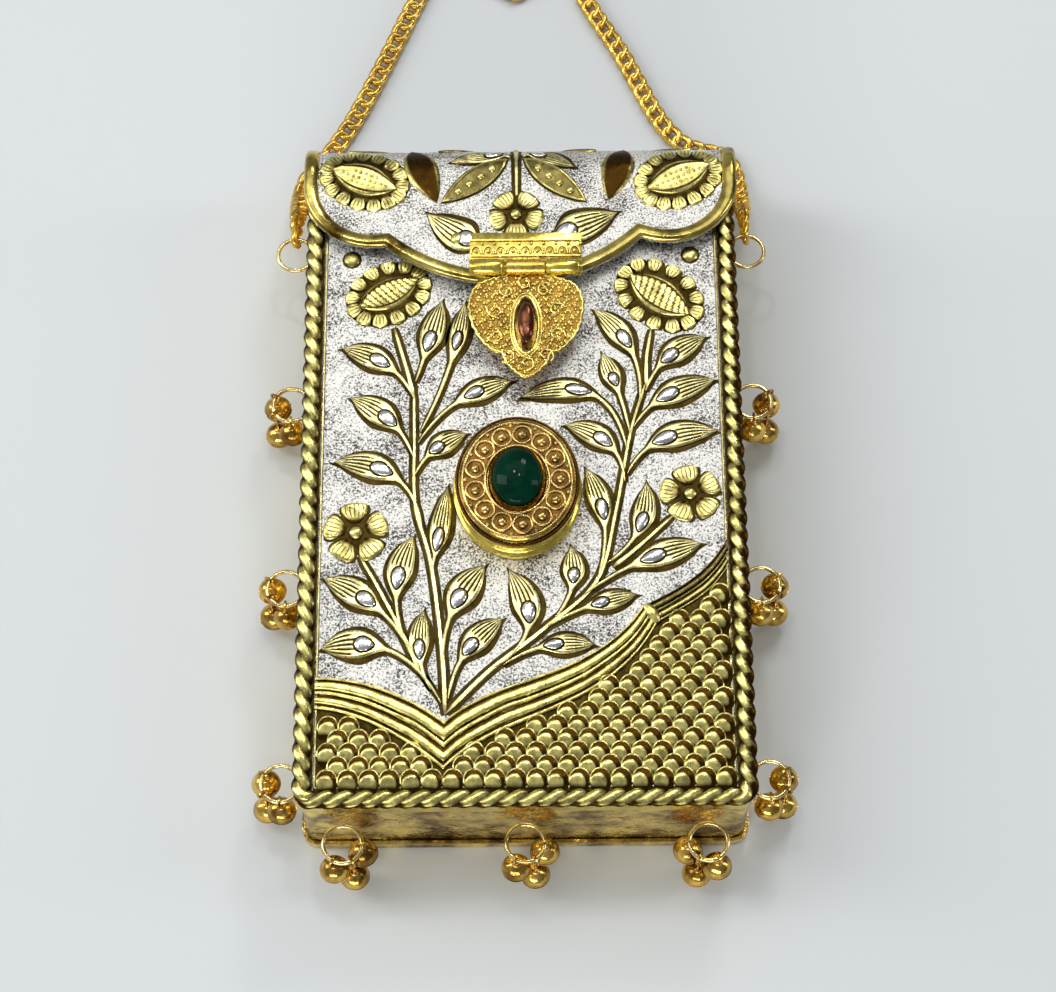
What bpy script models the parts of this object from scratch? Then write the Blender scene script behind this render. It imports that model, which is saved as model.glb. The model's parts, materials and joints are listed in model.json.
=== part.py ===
"""Metal clutch bag: an embossed sheet-metal box with a hinged scalloped flap, a slotted hasp
over a turn knob, jingle bells on soldered rings and a curb chain.

The bag lies on its back. +Z is the front normal, +Y points up the bag, +X to its right.
The origin is the centre of the back panel's outer face. Lengths are in metres.
Ornament places are given as (x, v): x from the centre line, v up from the bottom edge.
"""

import math

import bmesh
import bpy
from mathutils import Matrix, Vector

MM = 0.001

# Driving sizes of the body
BODY_WIDTH = 110 * MM
BODY_HEIGHT = 180 * MM
BODY_DEPTH = 32.2 * MM
CORNER_RADIUS = 4 * MM
SHEET = 0.8 * MM
GAP = 0.3 * MM
PAN_FLANGE = 3.3 * MM
BAND_LIP = 2.5 * MM
LINING_WALL = 1.0 * MM
FRONT_TOP_CUT = 4.5 * MM
LINING_TOP_CUT = 4.0 * MM

# Body that the ornament's places in mm were measured on; they follow the body's own size
DRAWN_WIDTH = 110 * MM
DRAWN_HEIGHT = 180 * MM
DRAWN_RING_X = 59.45 * MM

# Rope border and embossing on the front panel
ROPE_WIDTH = 4.2 * MM
ROPE_HEIGHT = 1.7 * MM
ROPE_LOBE = 9.0 * MM
ROPE_TOP_CUT = 9.0 * MM
ROPE_EDGE = 0.1 * MM
SUNK = 0.3 * MM
LEAF_EDGE = 0.45 * MM
LEAF_CREST = 1.0 * MM
STALK_WIDTH = 1.3 * MM
STALK_CREST = 0.8 * MM
STEM_WIDTH = 1.9 * MM
CHEVRON_CREST = 1.2 * MM
SCALE_PITCH = 5.2 * MM
SCALE_ROW = 3.9 * MM
SCALE_CREST = 0.9 * MM
SCALE_FIRST_ROW = 7.2 * MM

# Flap
FLAP_OVERHANG = 1 * MM
FLAP_WIDTH = BODY_WIDTH + 2 * FLAP_OVERHANG
FLAP_SHEET = 0.9 * MM
FLAP_BEND_RADIUS = 11 * MM
FLAP_CLEARANCE = 0.7 * MM
FLAP_BEND_STEPS = 5
FLAP_DROP = 42.1 * MM
FLAP_MIDDLE_RADIUS = FLAP_WIDTH / 2.24
FLAP_CUSP_LEFT = (-FLAP_WIDTH / 3.2, 30.6 * MM)
FLAP_CUSP_RIGHT = (FLAP_WIDTH / 3.61, 28.6 * MM)
FLAP_LOBE_RADIUS = FLAP_WIDTH / 6.22
FLAP_LOBE_DROP = 11 * MM
RIM_WIDTH = 3.8 * MM
RIM_HEIGHT = 1.2 * MM
FLAP_CREST = 0.8 * MM

# Flap hinge along the back top edge
BACK_KNUCKLE_RADIUS = 1.7 * MM
BACK_PIN_RADIUS = 0.7 * MM
BACK_HINGE_INSET = 7 * MM
BACK_HINGE_WIDTH = BODY_WIDTH - 2 * BACK_HINGE_INSET
BACK_KNUCKLES = 5
BACK_LEAF_REACH = 8 * MM
BACK_HINGE_LIFT = 0.2 * MM
FLAP_LEAF_REACH = 7 * MM

# Hasp, its hinge and the turn knob
HASP_X = 1.2 * MM
HASP_DROP = 38.5 * MM
HASP_REACH = 31 * MM
HASP_KNUCKLE_RADIUS = 1.9 * MM
HASP_PIN_RADIUS = 0.8 * MM
HASP_HINGE_WIDTH = 28.8 * MM
HASP_MIDDLE_KNUCKLE = 9.8 * MM
HASP_LEAF_REACH = 11 * MM
HASP_SHEET = 0.8 * MM
SLOT_REACH = 16.1 * MM
SLOT_LENGTH = 15.4 * MM
SLOT_WIDTH = 5.6 * MM
SLOT_RIM = 0.9 * MM
SLOT_RIM_HEIGHT = 0.4 * MM
KNOB_LENGTH = 11.6 * MM
KNOB_WIDTH = 4.2 * MM
KNOB_HEAD = 1.8 * MM
KNOB_SHAFT_RADIUS = 1.7 * MM
KNOB_PLATE_RADIUS = 5.5 * MM
KNOB_OFFSET = 0.3 * MM

# Medallion with its stone
MEDALLION_X = -1.3 * MM
MEDALLION_V = BODY_HEIGHT * 0.453
MEDALLION_HALF_WIDTH = 16 * MM
MEDALLION_HALF_HEIGHT = 18.3 * MM
MEDALLION_TOP = 7.6 * MM
MEDALLION_SEGMENTS = 20
MEDALLION_BEADS = 13
MEDALLION_BEAD_RING = 0.663
MEDALLION_BEAD_RADIUS = 1.9 * MM
STONE_HALF_WIDTH = 6.1 * MM
STONE_HALF_HEIGHT = 7.7 * MM
STONE_RISE = 4.2 * MM
BEZEL_WALL = 0.7 * MM
BEZEL_DEPTH = 2.4 * MM

# Soldered rings and bells
RING_RADIUS = 4.65 * MM
RING_WIRE = 0.6 * MM
RING_LEVEL = 17.5 * MM
RING_END = 11 * MM
SIDE_RING_PITCH = BODY_HEIGHT * 0.2833
SIDE_RING_V = {"low": RING_END, "mid": RING_END + SIDE_RING_PITCH, "high": RING_END + 2 * SIDE_RING_PITCH}
CHAIN_RING_DROP = 23 * MM
CHAIN_RING_V = BODY_HEIGHT - CHAIN_RING_DROP
BOTTOM_RING_REACH = BODY_WIDTH / 2 - RING_END
BOTTOM_RING_X = {"left": -BOTTOM_RING_REACH, "mid": 0.0, "right": BOTTOM_RING_REACH}
BELL_RADIUS = 3.6 * MM
BELL_FULLNESS = 1.08
BELL_LOOP_RADIUS = 1.5 * MM
BELL_LOOP_WIRE = 0.35 * MM
BELL_DROP = 7.0 * MM
BELL_LONG_DROP = 13.0 * MM
BELL_NECK_RADIUS = 0.55 * MM
BELL_ANGLES = (90.0, 30.0, -30.0)

# Curb chain
LINK_LENGTH = 8.0 * MM
LINK_WIDTH = 5.0 * MM
LINK_WIRE = 0.65 * MM
LINK_PITCH = 6.0 * MM
LINK_END_TURN = 66.0
LINK_TURN_STEP = 22.0
LINK_ROLL = 24.0
LINK_SQUARENESS = 0.6
CHAIN_REST = 1.75 * MM

# Places that follow from the sizes above
HALF_WIDTH = BODY_WIDTH / 2
HALF_HEIGHT = BODY_HEIGHT / 2
ACROSS = BODY_WIDTH / DRAWN_WIDTH
UPWARD = BODY_HEIGHT / DRAWN_HEIGHT
GROUND = BODY_DEPTH
BAND_INSET = SHEET + GAP
BAND_OUTER_X = HALF_WIDTH - BAND_INSET
ROPE_BASE = GROUND + GAP
FLAP_INNER_Z = ROPE_BASE + ROPE_HEIGHT + FLAP_CLEARANCE
FLAP_INNER_Y = HALF_HEIGHT + 2 * GAP + SHEET
FLAP_OUTER_Z = FLAP_INNER_Z + FLAP_SHEET
BEND_Y = FLAP_INNER_Y - FLAP_BEND_RADIUS
BEND_Z = FLAP_INNER_Z - FLAP_BEND_RADIUS
BODY_BEND_RADIUS = FLAP_BEND_RADIUS - FLAP_CLEARANCE - (FLAP_INNER_Y - HALF_HEIGHT)
BACK_AXIS_Y = HALF_HEIGHT + GAP + BACK_KNUCKLE_RADIUS
BACK_AXIS_Z = BACK_HINGE_LIFT + BACK_KNUCKLE_RADIUS
FLAP_REAR_Z = BACK_AXIS_Z + BACK_KNUCKLE_RADIUS + 2 * GAP
RIM_BASE = FLAP_SHEET + GAP
HASP_AXIS_Y = HALF_HEIGHT - HASP_DROP
HASP_AXIS_Z = FLAP_OUTER_Z + GAP + HASP_KNUCKLE_RADIUS
HASP_BOTTOM_Z = FLAP_OUTER_Z + 2 * GAP
HASP_TOP_Z = HASP_BOTTOM_Z + HASP_SHEET
KNOB_Y = HASP_AXIS_Y - SLOT_REACH + KNOB_OFFSET
KNOB_HEAD_Z = HASP_TOP_Z + SLOT_RIM_HEIGHT + GAP
RING_OFFSET = GAP + RING_WIRE + RING_RADIUS

# The vines on the front: where a leaf's stalk leaves the stem, its base, its tip and its width, in mm
LEAVES = (
    ((-20.0, 26.0), (-35.0, 40.5), (-49.3, 40.0), 7.4),
    ((-25.0, 33.5), (-35.5, 50.5), (-49.0, 58.5), 6.6),
    ((-29.0, 43.0), (-31.0, 52.5), (-27.0, 69.5), 6.2),
    ((-22.5, 29.5), (-24.6, 35.0), (-24.3, 50.0), 4.8),
    ((-25.0, 73.0), (-30.5, 84.5), (-47.0, 89.8), 6.6),
    ((-22.6, 60.0), (-21.7, 64.5), (-18.6, 83.0), 4.8),
    ((-26.8, 86.0), (-24.3, 90.5), (-14.0, 97.4), 5.4),
    ((-19.6, 36.0), (-18.0, 48.0), (-9.5, 61.5), 7.0),
    ((-18.3, 27.0), (-15.5, 36.5), (-5.2, 47.5), 6.0),
    ((-8.0, 34.5), (0.8, 44.5), (-3.6, 60.5), 6.4),
    ((-27.2, 91.0), (-30.2, 97.5), (-43.2, 107.5), 6.4),
    ((-27.2, 107.5), (-31.2, 114.0), (-45.7, 121.5), 6.0),
    ((-26.8, 112.0), (-25.0, 118.0), (-20.2, 135.0), 6.0),
    ((-25.5, 98.0), (-17.5, 119.0), (-14.3, 134.5), 4.6),
    ((-26.0, 95.0), (-16.5, 106.0), (-2.5, 112.0), 5.6),
    ((-5.0, 35.6), (3.0, 39.8), (17.0, 40.6), 5.0),
    ((5.0, 45.0), (15.0, 50.3), (27.6, 53.6), 4.6),
    ((14.0, 53.0), (26.0, 61.0), (44.0, 67.0), 6.2),
    ((7.5, 47.5), (11.6, 55.0), (11.6, 66.5), 5.2),
    ((18.0, 57.5), (20.2, 71.5), (15.6, 87.5), 5.4),
    ((20.5, 62.0), (26.8, 68.0), (30.6, 83.5), 5.4),
    ((26.0, 86.0), (30.5, 92.3), (48.8, 97.5), 6.4),
    ((25.4, 84.0), (23.8, 91.0), (10.6, 99.5), 5.8),
    ((26.2, 92.0), (18.5, 107.6), (-0.6, 107.2), 5.2),
    ((29.6, 106.0), (28.4, 119.0), (18.4, 132.0), 5.6),
    ((27.0, 97.0), (24.3, 109.0), (20.3, 119.5), 4.6),
    ((31.2, 109.0), (34.0, 114.8), (46.8, 124.0), 6.0),
    ((28.0, 99.0), (32.0, 104.3), (48.8, 111.8), 6.2),
)
STEMS = (
    ((-19.0, 24.0), (-19.7, 38.0), (-22.6, 62.0), (-26.6, 78.0), (-27.0, 96.0), (-27.2, 110.0)),
    ((-18.6, 25.0), (-8.0, 34.5), (5.0, 45.0), (18.0, 57.5), (23.0, 76.0), (27.0, 97.0), (31.4, 112.0)),
    ((-25.0, 34.0), (-29.5, 44.0), (-35.5, 56.0), (-40.2, 64.5)),
    ((22.0, 61.0), (28.0, 66.0), (37.5, 75.0)),
    ((-27.2, 108.0), (-29.5, 117.0), (-32.4, 127.5)),
    ((31.4, 110.0), (31.6, 118.0), (33.0, 126.5)),
)
FLOWERS = (((-41.2, 70.8), 7.4, 8.0), ((42.3, 80.8), 7.2, 82.0))
SHELLS = (((-34.0, 137.3), 7.8, 4.2, 28.0), ((35.3, 136.3), 9.2, 4.8, -38.0))
SHELL_BEADS = 11
BUDS = ((-43.5, 147.3), (43.6, 148.0))

# The chevron: three arches, each a pair of Bezier curves for its upper and lower edge, in mm
CHEVRON = (
    (
        ((-50.3, 32.7), (-40.0, 33.0), (-30.0, 29.5), (-19.2, 21.5)),
        ((-50.3, 24.7), (-40.0, 24.0), (-29.0, 17.5), (-19.4, 9.1)),
    ),
    (
        ((-19.2, 21.5), (-6.0, 34.0), (16.0, 31.0), (29.0, 50.5)),
        ((-19.4, 9.1), (-6.0, 24.0), (20.0, 22.0), (32.3, 46.0)),
    ),
    (
        ((29.0, 50.5), (35.0, 54.0), (44.0, 57.0), (50.3, 68.5)),
        ((32.3, 46.0), (38.0, 50.0), (45.0, 52.0), (50.3, 61.0)),
    ),
)
CHEVRON_STEPS = (4, 7, 4)
CHEVRON_RIDGES = ((0.02, 0.34), (0.36, 0.66), (0.68, 0.98))

# Embossing on the flap: centre (x, height above the flap's tip along the sheet), half length,
# half width and tilt
FLAP_MOUNDS = (
    ((-42.0, 31.0), 8.0, 4.2, -22.0),
    ((41.0, 31.0), 8.0, 4.2, 25.0),
    ((-26.5, 35.0), 7.0, 3.4, 105.0),
    ((26.5, 35.0), 7.0, 3.4, 75.0),
    ((-12.5, 30.5), 8.5, 2.7, 36.0),
    ((11.0, 30.5), 8.0, 2.7, -34.0),
    ((-19.5, 16.8), 6.6, 3.0, -50.0),
    ((20.5, 17.5), 5.6, 3.2, 40.0),
    ((-11.0, 43.5), 7.0, 2.8, -40.0),
    ((11.0, 43.5), 7.0, 2.8, 40.0),
)
FLAP_FLOWER = ((-0.5, 21.5), 5.0, 18.0)

# Half of the hasp's outline: distance from its middle line and from the hinge axis, in mm
HASP_OUTLINE = (
    (9.0, 2.5),
    (12.8, 4.4),
    (14.7, 8.5),
    (14.4, 14.0),
    (12.2, 19.6),
    (8.8, 23.4),
    (6.4, 23.9),
    (4.9, 27.4),
    (2.2, 30.4),
)

# The chain's way from the left ring to the right one, in mm, in the bag's own frame
CHAIN_ROUTE = (
    (-59.5, 78.0, 16.2),
    (-59.6, 85.0, 9.6),
    (-59.4, 94.0, 3.2),
    (-57.4, 100.5, 1.75),
    (-52.4, 106.8, 1.75),
    (-45.4, 119.0, 1.75),
    (-36.5, 139.0, 1.75),
    (-29.0, 157.0, 1.75),
    (-22.5, 172.0, 1.75),
    (-15.5, 180.0, 1.75),
    (-9.0, 176.5, 1.75),
    (-6.5, 166.0, 1.75),
    (-1.7, 159.5, 1.75),
    (3.0, 166.0, 1.75),
    (4.6, 176.5, 1.75),
    (9.6, 181.0, 1.75),
    (14.6, 172.0, 1.75),
    (18.9, 157.0, 1.75),
    (28.4, 139.0, 1.75),
    (37.6, 119.0, 1.75),
    (43.8, 110.4, 1.75),
    (49.6, 107.2, 1.75),
    (55.4, 105.6, 1.75),
    (58.4, 100.5, 1.75),
    (59.4, 94.0, 3.2),
    (59.6, 85.0, 9.6),
    (59.5, 78.0, 16.2),
)


# Basic tools


def clear_scene():
    for old in list(bpy.data.objects):
        bpy.data.objects.remove(old, do_unlink=True)


def material(name, colour, roughness, metallic):
    made = bpy.data.materials.new(name)
    made.use_nodes = True
    shader = made.node_tree.nodes["Principled BSDF"]
    shader.inputs["Base Color"].default_value = (*colour, 1.0)
    shader.inputs["Roughness"].default_value = roughness
    shader.inputs["Metallic"].default_value = metallic
    return made


def face_outward(shape):
    bmesh.ops.recalc_face_normals(shape, faces=shape.faces)
    if shape.calc_volume(signed=True) < 0:
        bmesh.ops.reverse_faces(shape, faces=shape.faces)


def add_object(name, shape, finish, origin=(0, 0, 0), smooth=False):
    """Makes the object from a bmesh in world coordinates, with its origin at the given point."""
    face_outward(shape)
    mesh = bpy.data.meshes.new(name)
    shape.to_mesh(mesh)
    shape.free()
    mesh.transform(Matrix.Translation(-Vector(origin)))
    mesh.materials.append(finish)
    if smooth:
        mesh.shade_smooth()
        mesh.set_sharp_from_angle(angle=math.radians(40))
    made = bpy.data.objects.new(name, mesh)
    made.location = origin
    bpy.context.collection.objects.link(made)
    return made


def helper(shape):
    """A closed solid that only takes part in a Boolean."""
    bmesh.ops.recalc_face_normals(shape, faces=shape.faces)
    mesh = bpy.data.meshes.new("helper")
    shape.to_mesh(mesh)
    shape.free()
    made = bpy.data.objects.new("helper", mesh)
    made.hide_render = True
    made.display_type = "WIRE"
    bpy.context.collection.objects.link(made)
    return made


def boolean(target, tool_shape, operation, overlapping=False):
    """Applies one EXACT Boolean to the target and removes the tool."""
    tool = helper(tool_shape)
    modifier = target.modifiers.new(operation.title(), "BOOLEAN")
    modifier.operation = operation
    modifier.object = tool
    modifier.use_self = overlapping
    graph = bpy.context.evaluated_depsgraph_get()
    result = bpy.data.meshes.new_from_object(target.evaluated_get(graph))
    target.modifiers.clear()
    old = target.data
    target.data = result
    bpy.data.meshes.remove(old)
    bpy.data.objects.remove(tool, do_unlink=True)


def add_loft(shape, rings, cyclic=False):
    """Skins rings of points, each with the same count, into one closed solid."""
    loops = [[shape.verts.new(point) for point in ring] for ring in rings]
    count = len(loops[0])
    last = len(loops) if cyclic else len(loops) - 1
    for i in range(last):
        here, after = loops[i], loops[(i + 1) % len(loops)]
        for j in range(count):
            k = (j + 1) % count
            shape.faces.new((here[j], here[k], after[k], after[j]))
    if not cyclic:
        shape.faces.new(reversed(loops[0]))
        shape.faces.new(loops[-1])


def loft(rings, cyclic=False):
    shape = bmesh.new()
    add_loft(shape, rings, cyclic)
    return shape


def prism(outline, low, high):
    return loft([[(x, y, low) for x, y in outline], [(x, y, high) for x, y in outline]])


def add_mound(shape, outline, bottom, edge, apex):
    """A low pyramid on upright walls; with edge below the ground only its slopes show."""
    low = [shape.verts.new((x, y, bottom)) for x, y in outline]
    rim = [shape.verts.new((x, y, edge)) for x, y in outline]
    top = shape.verts.new(apex)
    count = len(outline)
    for j in range(count):
        k = (j + 1) % count
        shape.faces.new((low[j], low[k], rim[k], rim[j]))
        shape.faces.new((rim[j], rim[k], top))
    shape.faces.new(reversed(low))


def add_cone(shape, outline, bottom, apex):
    """A pyramid on an outline that lies below the surface it stands on."""
    low = [shape.verts.new((x, y, bottom)) for x, y in outline]
    top = shape.verts.new(apex)
    count = len(outline)
    for j in range(count):
        shape.faces.new((low[j], low[(j + 1) % count], top))
    shape.faces.new(reversed(low))


def circle(radius, count, start=0.0):
    step = 2 * math.pi / count
    return [
        (radius * math.cos(start + i * step), radius * math.sin(start + i * step))
        for i in range(count)
    ]


def arc(centre, radius, first, last, steps):
    """Points on an arc from one angle to another, in degrees."""
    angles = [math.radians(first + (last - first) * i / steps) for i in range(steps + 1)]
    return [
        (centre[0] + radius * math.cos(a), centre[1] + radius * math.sin(a)) for a in angles
    ]


def bezier(points, t):
    """A point on the Bezier curve of any degree."""
    work = [Vector(point) for point in points]
    while len(work) > 1:
        work = [a.lerp(b, t) for a, b in zip(work, work[1:])]
    return work[0]


def through(points, t_count):
    """Points on a Catmull-Rom curve through the given ones, t_count per stretch."""
    ends = [Vector(p) for p in points]
    ends = [2 * ends[0] - ends[1], *ends, 2 * ends[-1] - ends[-2]]
    found = []
    for a, b, c, d in zip(ends, ends[1:], ends[2:], ends[3:]):
        for i in range(t_count):
            t = i / t_count
            found.append(
                0.5 * (2 * b + (c - a) * t + (2 * a - 5 * b + 4 * c - d) * t * t
                       + (3 * b - a - 3 * c + d) * t ** 3)
            )
    found.append(Vector(points[-1]))
    return found


def panel(point):
    """(x, v) in mm to (X, Y) in metres."""
    return Vector((point[0] * MM * ACROSS, point[1] * MM * UPWARD - HALF_HEIGHT))


# Body shells


def body_outline(inset, top_y):
    """The body's front outline, open corners at the top and round ones at the bottom."""
    radius = max(CORNER_RADIUS - inset, 0.4 * MM)
    x = HALF_WIDTH - inset
    bottom = -HALF_HEIGHT + inset
    left = arc((-x + radius, bottom + radius), radius, 180, 270, 3)
    right = arc((x - radius, bottom + radius), radius, 270, 360, 3)
    return [(-x, top_y), *left, *right, (x, top_y)]


def pan(name, finish, plate_low, flange_low, flange_high, top_y):
    """A panel with a flange turned along its sides and bottom, open at the top."""
    low = min(plate_low, flange_low)
    high = max(plate_low + SHEET, flange_high)
    made = add_object(name, prism(body_outline(0, top_y), low, high), finish)
    hollow_low = plate_low + SHEET if flange_high > plate_low + SHEET else low - SHEET
    hollow_high = plate_low if flange_low < plate_low else high + SHEET
    boolean(made, prism(body_outline(SHEET, top_y + SHEET), hollow_low, hollow_high), "DIFFERENCE")
    return made


def rounded_mouth():
    """A slab across the bag whose front top corner is round, so that the body clears the flap."""
    reach = BODY_WIDTH
    radius = BODY_BEND_RADIUS
    centre = (HALF_HEIGHT - radius, BEND_Z)
    front = centre[1] + radius
    profile = [(-BODY_HEIGHT, -SHEET), (HALF_HEIGHT, -SHEET), *arc(centre, radius, 0, 90, 5)]
    profile += [(-BODY_HEIGHT, front)]
    return loft([[(side * reach, y, z) for y, z in profile] for side in (-1, 1)])


def side_band(finish):
    low, high = SHEET + GAP, GROUND - SHEET - GAP
    made = add_object("side_band", prism(body_outline(BAND_INSET, HALF_HEIGHT), low, high), finish)
    inner = BAND_INSET + SHEET
    beyond = HALF_HEIGHT + SHEET
    boolean(made, prism(body_outline(inner, beyond), low + SHEET, high - SHEET), "DIFFERENCE")
    lips = prism(body_outline(inner + BAND_LIP, beyond), low - SHEET, high + SHEET)
    boolean(made, lips, "DIFFERENCE")
    boolean(made, rounded_mouth(), "INTERSECT")
    return made


def lining(finish):
    low = SHEET + GAP + SHEET + GAP
    high = GROUND - low
    inset = BAND_INSET + SHEET + GAP
    top_y = HALF_HEIGHT - LINING_TOP_CUT
    made = add_object("lining", prism(body_outline(inset, top_y), low, high), finish)
    inner = prism(body_outline(inset + LINING_WALL, top_y + SHEET), low + LINING_WALL, high - LINING_WALL)
    boolean(made, inner, "DIFFERENCE")
    return made


def rope_border(finish):
    """A flattened twisted wire soldered round the front: its crest swings from side to side."""
    inset = ROPE_WIDTH / 2 + ROPE_EDGE
    path = body_outline(inset, HALF_HEIGHT - ROPE_TOP_CUT)
    points = [Vector(path[0])]
    for start, end in zip(path, path[1:]):
        start, end = Vector(start), Vector(end)
        steps = max(1, round((end - start).length / (ROPE_LOBE / 2)))
        points += [start.lerp(end, (i + 1) / steps) for i in range(steps)]
    rings = []
    for i, point in enumerate(points):
        before = (point - points[i - 1]).normalized() if i else None
        after = (points[i + 1] - point).normalized() if i + 1 < len(points) else None
        along = ((before or after) + (after or before)).normalized()
        side = Vector((along.y, -along.x))
        swing = ROPE_WIDTH / 5 * (1 if i % 2 else -1)
        rings.append([
            (*(point - side * ROPE_WIDTH / 2), ROPE_BASE),
            (*(point + side * swing), ROPE_BASE + ROPE_HEIGHT),
            (*(point + side * ROPE_WIDTH / 2), ROPE_BASE),
        ])
    return add_object("rope_border", loft(rings), finish)


# Embossing


def ridge_section(point, along, width, bottom, crest):
    side = Vector((along.y, -along.x)) * (width / 2)
    return [(*(point - side), bottom), (*point, crest), (*(point + side), bottom)]


def add_ridge(shape, points, widths, ground, crest):
    """A three-sided ridge along a flat path, sunk a little into the ground."""
    rings = []
    for i, point in enumerate(points):
        before = points[max(i - 1, 0)]
        after = points[min(i + 1, len(points) - 1)]
        rings.append(
            ridge_section(point, (after - before).normalized(), widths[i], ground - SUNK, ground + crest)
        )
    add_loft(shape, rings)


def leaf_outline(base, tip, width):
    along = tip - base
    side = Vector((-along.y, along.x)).normalized() * (width / 2)
    stations = ((0.30, 0.95), (0.68, 0.78))
    left = [base + along * at + side * share for at, share in stations]
    right = [base + along * at - side * share for at, share in stations]
    return [base, *right, tip, *reversed(left)]


def add_leaf(shape, root, base, tip, width):
    """A pointed leaf and the stalk that joins it to its stem."""
    root, base, tip = panel(root), panel(base), panel(tip)
    along = (tip - base).normalized()
    stalk_end = base + along * STALK_WIDTH
    bend = base - along * (base - root).length * 0.5
    points = [bezier((root, bend, stalk_end), t) for t in (0.0, 0.5, 1.0)]
    add_ridge(shape, points, [STALK_WIDTH] * 3, GROUND, STALK_CREST)
    apex = base.lerp(tip, 0.42)
    outline = leaf_outline(base, tip, width * MM)
    add_mound(shape, outline, GROUND - SUNK, GROUND + LEAF_EDGE, (*apex, GROUND + LEAF_CREST))


def lens_outline(centre, half_length, half_width, tilt, steps=3):
    """A pointed oval: each side is a parabola."""
    turn = Matrix.Rotation(math.radians(tilt), 2)
    shares = [-1 + 2 * i / steps for i in range(steps + 1)]
    lower = [(half_length * u, -half_width * (1 - u * u)) for u in shares]
    upper = [(half_length * u, half_width * (1 - u * u)) for u in reversed(shares[1:-1])]
    return [Vector(centre) + turn @ Vector(p) for p in lower + upper]


def add_flower(shape, centre, radius, turn, ground, petals=5):
    """Petals round a raised boss."""
    for i in range(petals):
        angle = math.radians(turn + 360 * i / petals)
        away = Vector((math.cos(angle), math.sin(angle)))
        middle = centre + away * radius * 0.66
        outline = [middle + Vector(p) for p in circle(radius * 0.36, 5, angle)]
        add_cone(shape, outline, ground - SUNK, (*(middle + away * radius * 0.1), ground + LEAF_CREST))
    boss = [centre + Vector(p) for p in circle(radius * 0.26, 6)]
    add_mound(shape, boss, ground - SUNK, ground + LEAF_CREST, (*centre, ground + 1.3 * LEAF_CREST))


def add_shell(shape, centre, half_length, half_width, tilt):
    """A pointed oval flower head ringed with beads."""
    middle = panel(centre)
    body = lens_outline(middle, half_length * MM, half_width * MM, tilt, 4)
    add_mound(shape, body, GROUND - SUNK, GROUND + LEAF_EDGE, (*middle, GROUND + 1.3 * LEAF_CREST))
    turn = Matrix.Rotation(math.radians(tilt), 2)
    for i in range(SHELL_BEADS):
        angle = 2 * math.pi * (i + 0.5) / SHELL_BEADS
        out = Vector(((half_length + 1.2) * math.cos(angle), (half_width + 3.4) * math.sin(angle)))
        place = middle + turn @ (out * MM)
        outline = [place + Vector(p) for p in circle(1.7 * MM, 5, angle)]
        add_cone(shape, outline, GROUND - SUNK, (*place, GROUND + LEAF_CREST))


def chevron_point(arch, share, t):
    upper, lower = CHEVRON[arch]
    return panel(bezier(upper, t).lerp(bezier(lower, t), share))


def chevron_line(share):
    points = [chevron_point(0, share, 0)]
    for arch, steps in enumerate(CHEVRON_STEPS):
        points += [chevron_point(arch, share, (i + 1) / steps) for i in range(steps)]
    return points


def add_chevron(shape):
    for first, last in CHEVRON_RIDGES:
        outer, inner = chevron_line(first), chevron_line(last)
        crest = chevron_line((first + last) / 2)
        rings = [
            [(*a, GROUND - SUNK), (*b, GROUND + CHEVRON_CREST), (*c, GROUND - SUNK)]
            for a, b, c in zip(outer, crest, inner)
        ]
        add_loft(shape, rings)


def chevron_floor(x):
    """The Y of the chevron's lower edge at this X."""
    line = chevron_line(1.0)
    for a, b in zip(line, line[1:]):
        if a.x <= x <= b.x:
            return a.y + (b.y - a.y) * (x - a.x) / (b.x - a.x)
    return min(line[0].y, line[-1].y)


def add_scales(shape):
    """Staggered rows of fish scales fill the corner below the chevron."""
    half = HALF_WIDTH - ROPE_WIDTH - ROPE_EDGE - SCALE_PITCH / 2
    row = 0
    while SCALE_FIRST_ROW + row * SCALE_ROW < BODY_HEIGHT / 2:
        y = SCALE_FIRST_ROW + row * SCALE_ROW - HALF_HEIGHT
        x = -half + (SCALE_PITCH / 2 if row % 2 else 0)
        while x <= half:
            top = y + SCALE_ROW / 2
            if top < min(chevron_floor(x - SCALE_PITCH / 2.5), chevron_floor(x + SCALE_PITCH / 2.5)):
                wide, tall = SCALE_PITCH * 0.46, SCALE_ROW * 0.5
                outline = [(x - wide, y - tall), (x + wide, y - tall)]
                outline += [(x + wide * 0.5, y + tall), (x - wide * 0.5, y + tall)]
                add_cone(shape, outline, GROUND - SUNK, (x, y + tall * 0.3, GROUND + SCALE_CREST))
            x += SCALE_PITCH
        row += 1


def front_panel(finish):
    made = pan("front_panel", finish, GROUND - SHEET, GROUND - PAN_FLANGE, GROUND, HALF_HEIGHT - FRONT_TOP_CUT)
    relief = bmesh.new()
    for leaf in LEAVES:
        add_leaf(relief, *leaf)
    for stem in STEMS:
        points = [panel(p) for p in stem]
        widths = [STEM_WIDTH * (1 - 0.3 * i / (len(points) - 1)) for i in range(len(points))]
        add_ridge(relief, points, widths, GROUND, STALK_CREST * 1.1)
    for centre, radius, turn in FLOWERS:
        add_flower(relief, panel(centre), radius * MM, turn, GROUND)
    for shell in SHELLS:
        add_shell(relief, *shell)
    for bud in BUDS:
        outline = [panel(bud) + Vector(p) for p in circle(2.6 * MM, 6)]
        add_cone(relief, outline, GROUND - SUNK, (*panel(bud), GROUND + LEAF_CREST))
    add_chevron(relief)
    add_scales(relief)
    boolean(made, relief, "UNION", overlapping=True)
    return made


# Flap


def flap_reach(y):
    """Distance along the flap's inner face from its rear edge to this Y on the front."""
    return (BEND_Z - FLAP_REAR_Z) + math.pi / 2 * FLAP_BEND_RADIUS + (BEND_Y - y)


def bend_stops():
    start = BEND_Z - FLAP_REAR_Z
    length = math.pi / 2 * FLAP_BEND_RADIUS
    return [start + length * i / FLAP_BEND_STEPS for i in range(FLAP_BEND_STEPS + 1)]


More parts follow.
